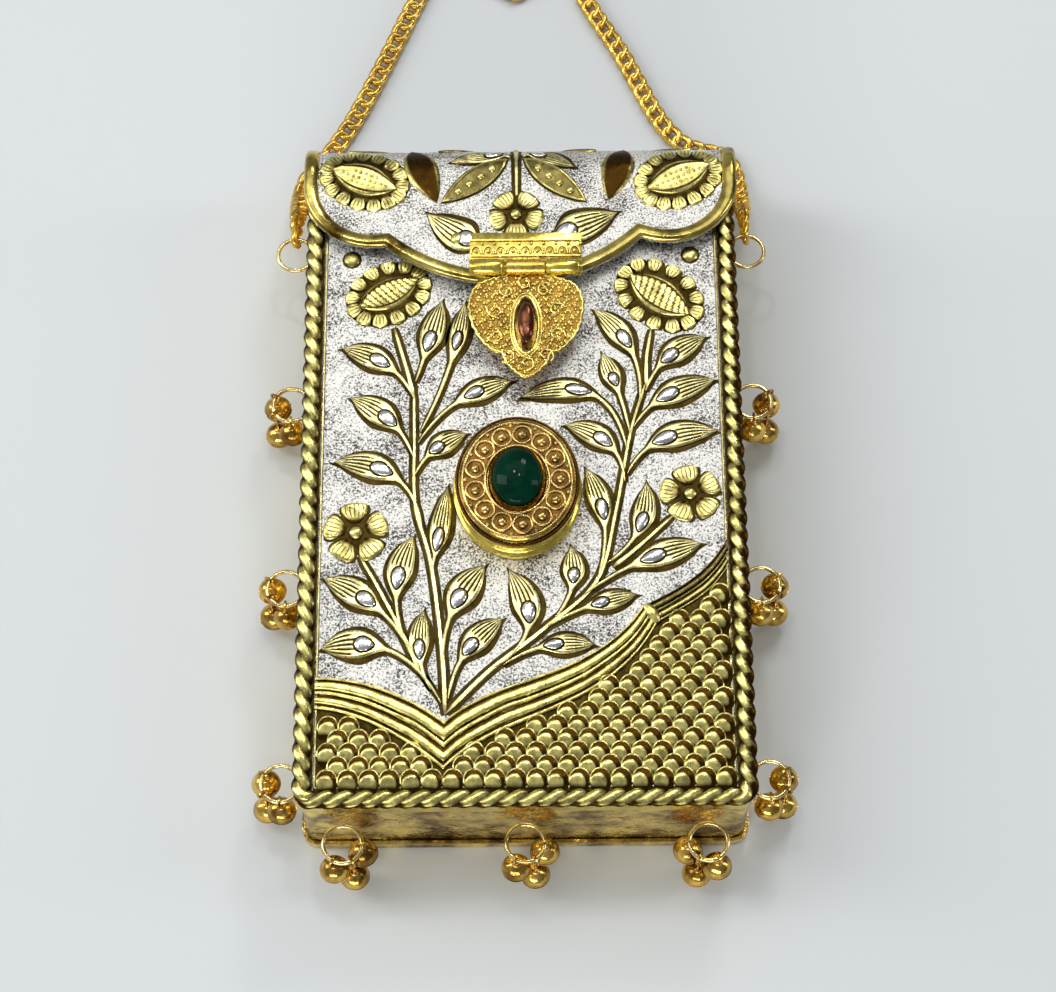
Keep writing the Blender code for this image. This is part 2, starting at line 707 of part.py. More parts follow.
def fold(point):
    """Takes (x, reach, height) on the flat sheet to its place on the folded flap."""
    x, reach, height = point
    stops = bend_stops()
    if reach <= stops[0]:
        return Vector((x, FLAP_INNER_Y + height, FLAP_REAR_Z + reach))
    if reach >= stops[-1]:
        return Vector((x, BEND_Y - (reach - stops[-1]), FLAP_INNER_Z + height))
    step = (reach - stops[0]) / (stops[1] - stops[0])
    index = min(int(step), FLAP_BEND_STEPS - 1)
    ends = []
    for i in (index, index + 1):
        angle = math.pi / 2 * i / FLAP_BEND_STEPS
        radius = FLAP_BEND_RADIUS + height
        ends.append(Vector((x, BEND_Y + radius * math.cos(angle), BEND_Z + radius * math.sin(angle))))
    return ends[0].lerp(ends[1], step - index)


def circle_through(start, end, radius):
    """Centre of the circle of this radius through two points, on the side of the flap's root."""
    start, end = Vector(start), Vector(end)
    middle = (start + end) / 2
    half = (end - start).length / 2
    away = Vector((-(end - start).y, (end - start).x)).normalized()
    return middle + away * math.sqrt(radius * radius - half * half)


def angle_of(centre, point):
    return math.degrees(math.atan2(point[1] - centre[1], point[0] - centre[0]))


def scallop():
    """The flap's free edge on the front from left to right, as (x, Y)."""
    half = FLAP_WIDTH / 2
    level = HALF_HEIGHT - FLAP_LOBE_DROP
    left_cusp = (FLAP_CUSP_LEFT[0], HALF_HEIGHT - FLAP_CUSP_LEFT[1])
    right_cusp = (FLAP_CUSP_RIGHT[0], HALF_HEIGHT - FLAP_CUSP_RIGHT[1])
    left_centre = circle_through((-half, level), left_cusp, FLAP_LOBE_RADIUS)
    right_centre = circle_through(right_cusp, (half, level), FLAP_LOBE_RADIUS)
    middle = circle_through(left_cusp, right_cusp, FLAP_MIDDLE_RADIUS)
    left_start = angle_of(left_centre, (-half, level)) % 360
    right_end = angle_of(right_centre, (half, level))
    left = arc(left_centre, FLAP_LOBE_RADIUS, left_start, angle_of(left_centre, left_cusp) % 360, 4)
    centre = arc(middle, FLAP_MIDDLE_RADIUS, angle_of(middle, left_cusp), angle_of(middle, right_cusp), 6)
    right = arc(right_centre, FLAP_LOBE_RADIUS, angle_of(right_centre, right_cusp), right_end, 4)
    return left + centre[1:-1] + right


def fold_mesh(made):
    """Cuts a flat sheet where it bends, then folds it."""
    shape = bmesh.new()
    shape.from_mesh(made.data)
    for stop in bend_stops():
        geometry = shape.verts[:] + shape.edges[:] + shape.faces[:]
        bmesh.ops.bisect_plane(shape, geom=geometry, plane_co=(0, stop, 0), plane_no=(0, 1, 0), dist=1e-7)
    bmesh.ops.triangulate(shape, faces=shape.faces)
    for vertex in shape.verts:
        vertex.co = fold(vertex.co)
    face_outward(shape)
    shape.to_mesh(made.data)
    shape.free()


def put_origin(made, origin):
    made.data.transform(Matrix.Translation(-Vector(origin)))
    made.location = origin


def flap(finish, origin):
    half = FLAP_WIDTH / 2
    edge = [(x, flap_reach(y)) for x, y in scallop()]
    outline = [(-half, 0.0), *edge, (half, 0.0)]
    made = add_object("flap", prism(outline, 0, FLAP_SHEET), finish)
    relief = bmesh.new()
    tip = flap_reach(HALF_HEIGHT - FLAP_DROP)
    for (x, up), half_length, half_width, tilt in FLAP_MOUNDS:
        centre = Vector((x * MM * ACROSS, tip - up * MM))
        lens = lens_outline(centre, half_length * MM, half_width * MM, -tilt)
        add_cone(relief, lens, FLAP_SHEET - SUNK, (*centre, FLAP_SHEET + FLAP_CREST))
    (x, up), radius, turn = FLAP_FLOWER
    add_flower(relief, Vector((x * MM * ACROSS, tip - up * MM)), radius * MM, turn, FLAP_SHEET)
    boolean(made, relief, "UNION", overlapping=True)
    fold_mesh(made)
    put_origin(made, origin)
    return made


def rim_path():
    """The flap's edge from its rear left corner to its rear right one, as (x, reach)."""
    half = FLAP_WIDTH / 2
    sides = [2 * SHEET, *bend_stops()]
    left = [(-half, reach) for reach in sides]
    right = [(half, reach) for reach in reversed(sides)]
    return [Vector(p) for p in left + [(x, flap_reach(y)) for x, y in scallop()] + right]


def inward(points, i):
    """The mitred normal at a point of the path, towards the flap's middle."""
    before = points[i] - points[i - 1] if i else points[1] - points[0]
    after = points[i + 1] - points[i] if i + 1 < len(points) else before
    normals = [Vector((d.y, -d.x)).normalized() for d in (before, after)]
    middle = (normals[0] + normals[1]).normalized()
    return middle / max(middle.dot(normals[0]), 0.5)


def flap_rim(side, finish, origin):
    """Half of the plain convex strip along the flap's edge; it stops at the hasp's hinge."""
    points = rim_path()
    half_hinge = HASP_HINGE_WIDTH / 2 + GAP
    kept = []
    for i, point in enumerate(points):
        if side * (point.x - HASP_X) > half_hinge:
            kept.append((point, inward(points, i)))
    end_x = HASP_X + side * half_hinge
    ordered = kept if side < 0 else list(reversed(kept))
    last_point, last_normal = ordered[-1]
    following = next(p for p in (points if side < 0 else list(reversed(points)))
                     if side * (p.x - HASP_X) <= half_hinge)
    share = (end_x - last_point.x) / (following.x - last_point.x)
    ordered.append((last_point.lerp(following, share), last_normal))
    section = ((0.0, 0.0), (0.18, 0.75), (0.5, 1.0), (0.82, 0.75), (1.0, 0.0))
    rings = []
    for point, normal in ordered:
        ring = []
        for across, up in section:
            place = point + normal * (RIM_WIDTH * across)
            if place is not point and side * (place.x - end_x) < 0:
                place.x = end_x
            ring.append(fold((place.x, place.y, RIM_BASE + RIM_HEIGHT * up)))
        rings.append(ring)
    name = "flap_rim_left" if side < 0 else "flap_rim_right"
    return add_object(name, loft(rings), finish, origin)


# Hinges


def tube_x(first, last, centre, outer, inner, sides):
    """A straight tube along X from first to last."""
    rings = []
    for x, radius in ((first, outer), (last, outer), (last, inner), (first, inner)):
        rings.append([(x, centre[0] + a, centre[1] + b) for a, b in circle(radius, sides)])
    return loft(rings, cyclic=True)


def rod_x(first, last, centre, radius, sides):
    return loft([[(x, centre[0] + a, centre[1] + b) for a, b in circle(radius, sides)] for x in (first, last)])


def box(low, high):
    outline = [(low[0], low[1]), (high[0], low[1]), (high[0], high[1]), (low[0], high[1])]
    return prism(outline, low[2], high[2])


def knuckle_spans(width, count):
    length = (width - (count - 1) * GAP) / count
    starts = [-width / 2 + i * (length + GAP) for i in range(count)]
    return [(start, start + length) for start in starts]


def barrel(name, plate, spans, centre, outer, bore, sides, finish, origin):
    """Knuckles joined to a hinge plate, with the bore cut clear through both."""
    made = add_object(name, plate, finish)
    for first, last in spans:
        boolean(made, rod_x(first, last, centre, outer, sides), "UNION")
    for first, last in spans:
        boolean(made, rod_x(first - GAP / 2, last + GAP / 2, centre, bore, sides), "DIFFERENCE")
    put_origin(made, origin)
    return made


def comb(low, high, spans, tooth_low, tooth_high):
    """A plate outline with teeth that reach to the knuckles; all as boxes in one shape."""
    plate = box(low, high)
    made = helper(plate)
    for first, last in spans:
        boolean(made, box((first, tooth_low[0], tooth_low[1]), (last, tooth_high[0], tooth_high[1])), "UNION")
    shape = bmesh.new()
    shape.from_mesh(made.data)
    bpy.data.objects.remove(made, do_unlink=True)
    return shape


def back_hinge(finish, flap_origin):
    spans = knuckle_spans(BACK_HINGE_WIDTH, BACK_KNUCKLES)
    half = BACK_HINGE_WIDTH / 2
    centre = (BACK_AXIS_Y, BACK_AXIS_Z)
    bore = BACK_PIN_RADIUS + GAP
    low = SHEET + GAP
    fixed = comb(
        (-half, HALF_HEIGHT - BACK_LEAF_REACH, low), (half, HALF_HEIGHT, low + SHEET),
        spans[0::2], (HALF_HEIGHT - SHEET, low), (BACK_AXIS_Y, low + SHEET),
    )
    barrel("back_hinge_leaf", fixed, spans[0::2], centre, BACK_KNUCKLE_RADIUS, bore, 8, finish, (0, 0, 0))
    near = HALF_HEIGHT + GAP
    top = FLAP_REAR_Z + FLAP_LEAF_REACH
    moving = comb(
        (-half, near, BACK_AXIS_Z + BACK_KNUCKLE_RADIUS + GAP), (half, near + SHEET, top),
        spans[1::2], (near, BACK_AXIS_Z), (near + SHEET, top - SHEET),
    )
    barrel("flap_hinge_leaf", moving, spans[1::2], centre, BACK_KNUCKLE_RADIUS, bore, 8, finish, flap_origin)
    pin = rod_x(-half, half, centre, BACK_PIN_RADIUS, 8)
    add_object("back_hinge_pin", pin, finish)


# Hasp and knob


def stadium(centre, length, width, steps=3):
    """An upright slot outline with round ends."""
    straight = (length - width) / 2
    top = arc((centre[0], centre[1] + straight), width / 2, 0, 180, steps)
    bottom = arc((centre[0], centre[1] - straight), width / 2, 180, 360, steps)
    return top + bottom


def hasp_parts(flap_finish, hasp_finish, hasp_origin, flap_origin):
    middle = HASP_MIDDLE_KNUCKLE / 2
    half = HASP_HINGE_WIDTH / 2
    centre = (HASP_AXIS_Y, HASP_AXIS_Z)
    bore = HASP_PIN_RADIUS + GAP
    low = FLAP_OUTER_Z + GAP
    outer = [(HASP_X - half, HASP_X - middle - GAP), (HASP_X + middle + GAP, HASP_X + half)]
    clear = HASP_KNUCKLE_RADIUS + GAP
    leaf = comb(
        (HASP_X - half, HASP_AXIS_Y + clear, low),
        (HASP_X + half, HASP_AXIS_Y + HASP_LEAF_REACH, low + HASP_SHEET),
        outer, (HASP_AXIS_Y, low), (HASP_AXIS_Y + clear + HASP_SHEET, low + HASP_SHEET),
    )
    barrel("hasp_hinge_leaf", leaf, outer, centre, HASP_KNUCKLE_RADIUS, bore, 10, flap_finish, flap_origin)
    pin = rod_x(HASP_X - half, HASP_X + half, centre, HASP_PIN_RADIUS, 8)
    add_object("hasp_pin", pin, flap_finish, flap_origin)

    side = [(x * MM, HASP_AXIS_Y - down * MM) for x, down in HASP_OUTLINE]
    neck = [(middle, HASP_AXIS_Y), (middle, HASP_AXIS_Y - 2.5 * MM)]
    right = [(HASP_X + x, y) for x, y in neck + side]
    left = [(HASP_X - x, y) for x, y in reversed(neck + side)]
    tip = [(HASP_X, HASP_AXIS_Y - HASP_REACH)]
    plate = prism(right + tip + left, HASP_BOTTOM_Z, HASP_TOP_Z)
    slot_centre = (HASP_X, HASP_AXIS_Y - SLOT_REACH)
    knuckle = [(HASP_X - middle, HASP_X + middle)]
    made = barrel("hasp", plate, knuckle, centre, HASP_KNUCKLE_RADIUS, bore, 10, hasp_finish, (0, 0, 0))
    collar = stadium(slot_centre, SLOT_LENGTH + 2 * SLOT_RIM, SLOT_WIDTH + 2 * SLOT_RIM)
    boolean(made, prism(collar, HASP_BOTTOM_Z + GAP, HASP_TOP_Z + SLOT_RIM_HEIGHT), "UNION")
    slot = stadium(slot_centre, SLOT_LENGTH, SLOT_WIDTH)
    boolean(made, prism(slot, HASP_BOTTOM_Z - SHEET, HASP_TOP_Z + SHEET), "DIFFERENCE")
    put_origin(made, hasp_origin)


def knob_parts(plate_finish, knob_finish):
    bore = KNOB_SHAFT_RADIUS + GAP
    place = Vector((HASP_X, KNOB_Y))
    low = GROUND + GAP
    plate = add_object("knob_plate", prism([place + Vector(p) for p in circle(KNOB_PLATE_RADIUS, 12)], low, low + SHEET), plate_finish)
    hole = prism([place + Vector(p) for p in circle(bore, 8)], low - SHEET, low + 2 * SHEET)
    boolean(plate, hole, "DIFFERENCE")
    head = stadium(place, KNOB_LENGTH, KNOB_WIDTH)
    crown = stadium(place, KNOB_LENGTH - 1.4 * MM, KNOB_WIDTH - 1.4 * MM)
    rings = [
        [(x, y, KNOB_HEAD_Z) for x, y in head],
        [(x, y, KNOB_HEAD_Z + KNOB_HEAD * 0.6) for x, y in head],
        [(x, y, KNOB_HEAD_Z + KNOB_HEAD) for x, y in crown],
    ]
    origin = (HASP_X, KNOB_Y, GROUND)
    knob = add_object("turn_knob", loft(rings), knob_finish)
    shaft = [place + Vector(p) for p in circle(KNOB_SHAFT_RADIUS, 8)]
    boolean(knob, prism(shaft, low, KNOB_HEAD_Z + KNOB_HEAD / 3), "UNION")
    put_origin(knob, origin)


# Medallion


def ellipse_ring(share, height, extra=0.0):
    """A ring of the medallion, as a share of its base oval, this high over its seat."""
    z = GROUND + GAP + height
    return [
        (
            MEDALLION_X + (MEDALLION_HALF_WIDTH * share + extra) * c,
            MEDALLION_V - HALF_HEIGHT + (MEDALLION_HALF_HEIGHT * share + extra) * s,
            z,
        )
        for c, s in circle(1.0, MEDALLION_SEGMENTS)
    ]


def stone_ring(extra, height):
    z = GROUND + GAP + height
    return [
        (
            MEDALLION_X + (STONE_HALF_WIDTH + extra) * c,
            MEDALLION_V - HALF_HEIGHT + (STONE_HALF_HEIGHT + extra) * s,
            z,
        )
        for c, s in circle(1.0, MEDALLION_SEGMENTS)
    ]


def medallion(finish):
    """A stepped oval setting, turned and stretched, with a bezel round the stone's seat."""
    top = MEDALLION_TOP
    steps = ((1.0, 0.0), (1.0, 0.17), (0.93, 0.27), (0.925, 0.6), (0.965, 0.69), (0.96, 0.8), (0.86, 1.0))
    rings = [ellipse_ring(share, height * top) for share, height in steps]
    rings.append(stone_ring(GAP + BEZEL_WALL, top - 0.3 * MM))
    rings.append(stone_ring(GAP + BEZEL_WALL, top + BEZEL_DEPTH / 2))
    rings.append(stone_ring(GAP, top + BEZEL_DEPTH / 2))
    rings.append(stone_ring(GAP, top - BEZEL_DEPTH / 2))
    made = add_object("medallion", loft(rings), finish, smooth=True)
    beads = bmesh.new()
    for i in range(MEDALLION_BEADS):
        angle = 2 * math.pi * i / MEDALLION_BEADS + 0.25
        place = Vector((
            MEDALLION_X + MEDALLION_HALF_WIDTH * MEDALLION_BEAD_RING * math.cos(angle),
            MEDALLION_V - HALF_HEIGHT + MEDALLION_HALF_HEIGHT * MEDALLION_BEAD_RING * math.sin(angle),
        ))
        outline = [place + Vector(p) for p in circle(MEDALLION_BEAD_RADIUS, 5, angle)]
        base = GROUND + GAP + top - 0.5 * MM
        add_cone(beads, outline, base, (*place, base + 1.5 * MM))
    boolean(made, beads, "UNION", overlapping=True)


def stone(finish):
    """An oval cabochon that sits in the bezel."""
    seat = MEDALLION_TOP - BEZEL_DEPTH / 2 + GAP
    girdle = MEDALLION_TOP + BEZEL_DEPTH / 2
    rings = [stone_ring(0, seat), stone_ring(0, girdle)]
    for share in (0.45, 0.8):
        shrink = math.sqrt(1 - share * share) - 1
        z = GROUND + GAP + girdle + STONE_RISE * share
        rings.append([
            (MEDALLION_X + STONE_HALF_WIDTH * (1 + shrink) * c,
             MEDALLION_V - HALF_HEIGHT + STONE_HALF_HEIGHT * (1 + shrink) * s, z)
            for c, s in circle(1.0, MEDALLION_SEGMENTS)
        ])
    add_object("cabochon", loft(rings), finish, smooth=True)


# Rings, bells and chain


def wire_ring(name, centre, finish):
    """A plain wire ring that lies level, soldered to the wall at its near side."""
    rings = []
    for c, s in circle(1.0, 10):
        out = Vector((c, s, 0))
        rings.append([
            Vector(centre) + out * (RING_RADIUS + a) + Vector((0, 0, b)) for a, b in circle(RING_WIRE, 4)
        ])
    return add_object(name, loft(rings, cyclic=True), finish, smooth=True)


def bell_shape(hook, outward, drop):
    """A ball hung by a wire eye: the eye's plane holds the outward direction and Z."""
    seat = BELL_LOOP_RADIUS - BELL_LOOP_WIRE - RING_WIRE - GAP
    eye = hook - Vector((0, 0, seat))
    centre = hook - Vector((0, 0, drop))
    along = Vector((-outward.y, outward.x, 0))
    rings = []
    for c, s in circle(1.0, 5, math.pi / 2):
        out = outward * c + Vector((0, 0, s))
        rings.append([eye + out * (BELL_LOOP_RADIUS + a) + along * b for a, b in circle(BELL_LOOP_WIRE, 3)])
    loop = loft(rings, cyclic=True)
    ball = []
    for angle in (62, 22, -22, -62):
        radius = BELL_RADIUS * min(1.0, BELL_FULLNESS * math.cos(math.radians(angle)))
        z = BELL_RADIUS * math.sin(math.radians(angle))
        ball.append([centre + Vector((x, y, z)) for x, y in circle(radius, 7)])
    neck_low = BELL_RADIUS * math.sin(math.radians(62)) - GAP
    neck_high = drop - seat - BELL_LOOP_RADIUS + BELL_LOOP_WIRE / 2
    neck = [
        [centre + Vector((x, y, z)) for x, y in circle(BELL_NECK_RADIUS, 4, 0.4)]
        for z in (neck_low, neck_high)
    ]
    return ball, neck, loop


def bell(name, hook, outward, drop, finish):
    ball, neck, loop = bell_shape(hook, outward, drop)
    made = add_object(name, loft(ball), finish)
    boolean(made, loft(neck), "UNION")
    boolean(made, loop, "UNION")
    put_origin(made, hook)
    return made


def bell_cluster(place, centre, outward, along, ring_finish, bell_finish):
    """A ring with three bells; along is the wall direction that the first bell hangs towards."""
    wire_ring(f"ring_{place}", centre, ring_finish)
    for i, angle in enumerate(BELL_ANGLES):
        turn = math.radians(angle)
        away = outward * math.cos(turn) + along * math.sin(turn)
        hook = centre + away * RING_RADIUS
        drop = BELL_LONG_DROP if i == 1 else BELL_DROP
        bell(f"bell_{place}_{i + 1}", hook, away, drop, bell_finish)


def bells(ring_finish, bell_finish):
    down = Vector((0, -1, 0))
    for side, name in ((-1, "left"), (1, "right")):
        for level, v in SIDE_RING_V.items():
            centre = Vector((side * (BAND_OUTER_X + RING_OFFSET), v - HALF_HEIGHT, RING_LEVEL))
            bell_cluster(f"{name}_{level}", centre, Vector((side, 0, 0)), down, ring_finish, bell_finish)
    for name, x in BOTTOM_RING_X.items():
        centre = Vector((x, -HALF_HEIGHT + BAND_INSET - RING_OFFSET, RING_LEVEL))
        along = Vector((-1 if x > 0 else 1, 0, 0))
        bell_cluster(f"bottom_{name}", centre, down, along, ring_finish, bell_finish)


def link_rings(centre, along, roll):
    """One oval link: long axis along the chain, rolled about it."""
    side = Vector((0, 0, 1)).cross(along).normalized()
    up = along.cross(side)
    wide = side * math.cos(roll) + up * math.sin(roll)
    normal = along.cross(wide)
    half_length = LINK_LENGTH / 2 - LINK_WIRE
    half_width = LINK_WIDTH / 2 - LINK_WIRE
    rings = []
    for c, s in circle(1.0, 6, math.pi / 6):
        spread = math.copysign(abs(s) ** LINK_SQUARENESS, s)
        middle = centre + along * half_length * c * 1.155 + wide * half_width * spread
        out = (along * c * half_width + wide * s * half_length).normalized()
        rings.append([middle + out * a + normal * b for a, b in circle(LINK_WIRE, 3, math.pi / 6)])
    return rings


def chain_places():
    """Centre, direction and roll of each link, at equal steps along the route."""
    hooks = []
    for side in (-1, 1):
        centre = Vector((side * (BAND_OUTER_X + RING_OFFSET), CHAIN_RING_V - HALF_HEIGHT, RING_LEVEL))
        hooks.append(centre + Vector((0, RING_RADIUS - RING_WIRE - GAP - LINK_WIRE, 0)))
    spread = (BAND_OUTER_X + RING_OFFSET) / DRAWN_RING_X
    above = HALF_HEIGHT - DRAWN_HEIGHT / 2
    route = [Vector((x * MM * spread, y * MM + above, z * MM)) for x, y, z in CHAIN_ROUTE]
    curve = through([hooks[0], *route, hooks[1]], 12)
    lengths = [0.0]
    for a, b in zip(curve, curve[1:]):
        lengths.append(lengths[-1] + (b - a).length)
    end = LINK_LENGTH / 2 - LINK_WIRE
    count = round((lengths[-1] - 2 * end) / LINK_PITCH) + 1
    found = []
    for i in range(count):
        at = end + (lengths[-1] - 2 * end) * i / (count - 1)
        j = max(k for k, length in enumerate(lengths) if length <= at)
        j = min(j, len(curve) - 2)
        share = (at - lengths[j]) / (lengths[j + 1] - lengths[j])
        place = curve[j].lerp(curve[j + 1], share)
        found.append(place)
    places = []
    for i, place in enumerate(found):
        along = (found[min(i + 1, count - 1)] - found[max(i - 1, 0)]).normalized()
        from_end = min(i, count - 1 - i)
        middle = max(0.0, LINK_END_TURN - LINK_TURN_STEP * (from_end // 2))
        roll = middle + (LINK_ROLL if from_end % 2 == 0 else -LINK_ROLL)
        places.append((place, along, math.radians(roll)))
    return places


def chain(finish):
    odd, even = bmesh.new(), bmesh.new()
    for i, (centre, along, roll) in enumerate(chain_places()):
        add_loft(even if i % 2 else odd, link_rings(centre, along, roll), cyclic=True)
    made = add_object("chain_strap", odd, finish)
    boolean(made, even, "UNION")
    return made


def chain_rings(finish):
    for side, name in ((-1, "left"), (1, "right")):
        centre = (side * (BAND_OUTER_X + RING_OFFSET), CHAIN_RING_V - HALF_HEIGHT, RING_LEVEL)
        wire_ring(f"chain_ring_{name}", centre, finish)


def main():
    clear_scene()
    silver = material("embossed_silver", (0.80, 0.79, 0.74), 0.32, 1.0)
    gold = material("yellow_gold", (0.83, 0.68, 0.20), 0.28, 1.0)
    warm_gold = material("warm_gold", (0.80, 0.55, 0.14), 0.30, 1.0)
    bronze = material("dark_bronze", (0.24, 0.10, 0.04), 0.30, 1.0)
    velvet = material("lining_velvet", (0.16, 0.02, 0.03), 0.9, 0.0)
    emerald = material("green_stone", (0.0, 0.10, 0.05), 0.08, 0.0)

    flap_origin = (0, BACK_AXIS_Y, BACK_AXIS_Z)
    hasp_origin = (HASP_X, HASP_AXIS_Y, HASP_AXIS_Z)

    front_panel(silver)
    pan("back_panel", gold, 0, 0, PAN_FLANGE, HALF_HEIGHT)
    side_band(gold)
    lining(velvet)
    rope_border(gold)
    medallion(warm_gold)
    stone(emerald)
    knob_parts(warm_gold, bronze)
    back_hinge(gold, flap_origin)
    flap(silver, flap_origin)
    flap_rim(-1, gold, flap_origin)
    flap_rim(1, gold, flap_origin)
    hasp_parts(gold, warm_gold, hasp_origin, flap_origin)
    bells(warm_gold, warm_gold)
    chain_rings(warm_gold)
    chain(warm_gold)


main()
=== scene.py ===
"""Looks of the metal clutch bag: chased gilt ornament on a stippled silver ground, over the CAD frame.

Every sub-assembly is a class with its sizes as fields. Lengths are in metres unless a name says mm.
Ornament places are (x, v) in mm: x from the bag's middle, v up from its bottom edge.
"""

from __future__ import annotations

import json
import logging
import math
from contextlib import contextmanager
from dataclasses import dataclass
from enum import Enum
from typing import Callable, Iterator, Sequence

import bpy
from mathutils import Matrix, Vector

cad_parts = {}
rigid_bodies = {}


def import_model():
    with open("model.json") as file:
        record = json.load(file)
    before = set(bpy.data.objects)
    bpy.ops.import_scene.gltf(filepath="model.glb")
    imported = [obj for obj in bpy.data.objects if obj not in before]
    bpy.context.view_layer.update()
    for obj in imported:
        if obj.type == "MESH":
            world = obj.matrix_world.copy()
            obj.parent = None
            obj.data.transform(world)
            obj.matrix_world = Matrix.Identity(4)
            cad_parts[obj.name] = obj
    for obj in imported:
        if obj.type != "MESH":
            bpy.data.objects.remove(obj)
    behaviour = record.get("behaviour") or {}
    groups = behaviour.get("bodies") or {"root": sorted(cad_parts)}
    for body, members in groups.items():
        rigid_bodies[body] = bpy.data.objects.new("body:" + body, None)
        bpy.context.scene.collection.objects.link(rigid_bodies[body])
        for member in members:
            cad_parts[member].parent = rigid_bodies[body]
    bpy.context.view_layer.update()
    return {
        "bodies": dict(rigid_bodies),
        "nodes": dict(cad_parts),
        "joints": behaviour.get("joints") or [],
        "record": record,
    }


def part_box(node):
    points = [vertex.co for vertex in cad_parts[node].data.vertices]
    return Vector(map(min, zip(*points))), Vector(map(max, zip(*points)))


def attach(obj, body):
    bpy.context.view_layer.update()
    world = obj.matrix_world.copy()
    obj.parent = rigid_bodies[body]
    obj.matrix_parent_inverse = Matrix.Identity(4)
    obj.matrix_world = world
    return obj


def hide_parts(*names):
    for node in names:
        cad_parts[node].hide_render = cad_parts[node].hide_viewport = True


LOG = logging.getLogger("clutch")
MM = 0.001
Obj = bpy.types.Object
Socket = bpy.types.NodeSocket
Point = tuple[float, float]
Colour = tuple[float, float, float]
TURN = 2 * math.pi
QUARTER = math.pi / 2
MERGE = 1e-6


def angles(count: int) -> list[float]:
    """Even angles round a full turn, from 0."""
    return [TURN * i / count for i in range(count)]


class Slot(Enum):
    """Material slots of the record."""

    SILVER = "embossed_silver"
    GOLD = "yellow_gold"
    WARM = "warm_gold"
    BRONZE = "dark_bronze"
    VELVET = "lining_velvet"
    STONE = "green_stone"


# Node materials


class Nodes:
    """Builds one material's node tree around its Principled shader."""

    def __init__(self, name: str) -> None:
        """Makes the material and its coordinate node.

        Args:
            name: the material's name.
        """
        self.material = bpy.data.materials.new(name)
        self.material.use_nodes = True
        self.tree = self.material.node_tree
        self.shader = self.tree.nodes["Principled BSDF"]
        self.place = self.tree.nodes.new("ShaderNodeTexCoord").outputs["Object"]

    def link(self, source: Socket, target: Socket) -> None:
        """Joins two sockets."""
        self.tree.links.new(source, target)

    def noise(self, scale: float, detail: float = 2.0, rough: float = 0.5) -> Socket:
        """Noise on object coordinates.

        Args:
            scale: features per metre.
            detail: octaves.
            rough: share of the finer octaves.

        Returns:
            The factor socket.
        """
        node = self.tree.nodes.new("ShaderNodeTexNoise")
        node.inputs["Scale"].default_value = scale
        node.inputs["Detail"].default_value = detail
        node.inputs["Roughness"].default_value = rough
        self.link(self.place, node.inputs["Vector"])
        return node.outputs["Fac"]

    def cells(self, scale: float) -> Socket:
        """Voronoi cells.

        Args:
            scale: cells in a metre.

        Returns:
            The distance to the nearest cell's point.
        """
        node = self.tree.nodes.new("ShaderNodeTexVoronoi")
        node.inputs["Scale"].default_value = scale
        self.link(self.place, node.inputs["Vector"])
        return node.outputs["Distance"]

    def attribute(self, name: str) -> Socket:
        """A float attribute of the mesh.

        Args:
            name: the attribute's name.

        Returns:
            Its value.
        """
        node = self.tree.nodes.new("ShaderNodeAttribute")
        node.attribute_name = name
        return node.outputs["Fac"]

    def span(self, value: Socket, low: float, high: float,
             out_low: float = 0.0, out_high: float = 1.0) -> Socket:
        """Maps a range onto another one and clamps it.

        Args:
            value: the socket to map.
            low: input that gives out_low.
            high: input that gives out_high.
            out_low: first output.
            out_high: last output.

        Returns:
            The mapped socket.
        """
        node = self.tree.nodes.new("ShaderNodeMapRange")
        ends = {"From Min": low, "From Max": high, "To Min": out_low, "To Max": out_high}
        for key, number in ends.items():
            node.inputs[key].default_value = number
        self.link(value, node.inputs["Value"])
        return node.outputs["Result"]

    def combine(self, operation: str, a: Socket,
                b: Socket | float) -> Socket:
        """A math node of two values.

        Args:
            operation: the node's operation name.
            a: first socket.
            b: second socket or a number.

        Returns:
            The result socket.
        """
        node = self.tree.nodes.new("ShaderNodeMath")
        node.operation = operation
        self.link(a, node.inputs[0])
        if isinstance(b, (int, float)):
            node.inputs[1].default_value = b
        else:
            self.link(b, node.inputs[1])
        return node.outputs[0]

    def mix(self, share: Socket, low: Colour | Socket,
            high: Colour | Socket) -> Socket:
        """Blends two colours.

        Args:
            share: 0 for the low colour, 1 for the high one.
            low: a colour or a socket.
            high: a colour or a socket.

        Returns:
            The colour socket.
        """
        node = self.tree.nodes.new("ShaderNodeMix")
        node.data_type = "RGBA"
        self.link(share, node.inputs["Factor"])
        for name, value in (("A", low), ("B", high)):
            target = next(s for s in node.inputs if s.name == name and s.type == "RGBA")
            if isinstance(value, tuple):
                target.default_value = (*value, 1.0)
            else:
                self.link(value, target)
        return next(s for s in node.outputs if s.type == "RGBA")

    def bump(self, height: Socket, depth: float, strength: float = 1.0) -> None:
        """Adds a bump to the shader, over the bump before it.

        Args:
            height: the pattern.
            depth: its depth in metres.
            strength: share of it that shows.
        """
        node = self.tree.nodes.new("ShaderNodeBump")
        node.inputs["Distance"].default_value = depth
        node.inputs["Strength"].default_value = strength
        self.link(height, node.inputs["Height"])
        normal = self.shader.inputs["Normal"]
        if normal.links:
            self.link(normal.links[0].from_socket, node.inputs["Normal"])
        self.link(node.outputs["Normal"], normal)


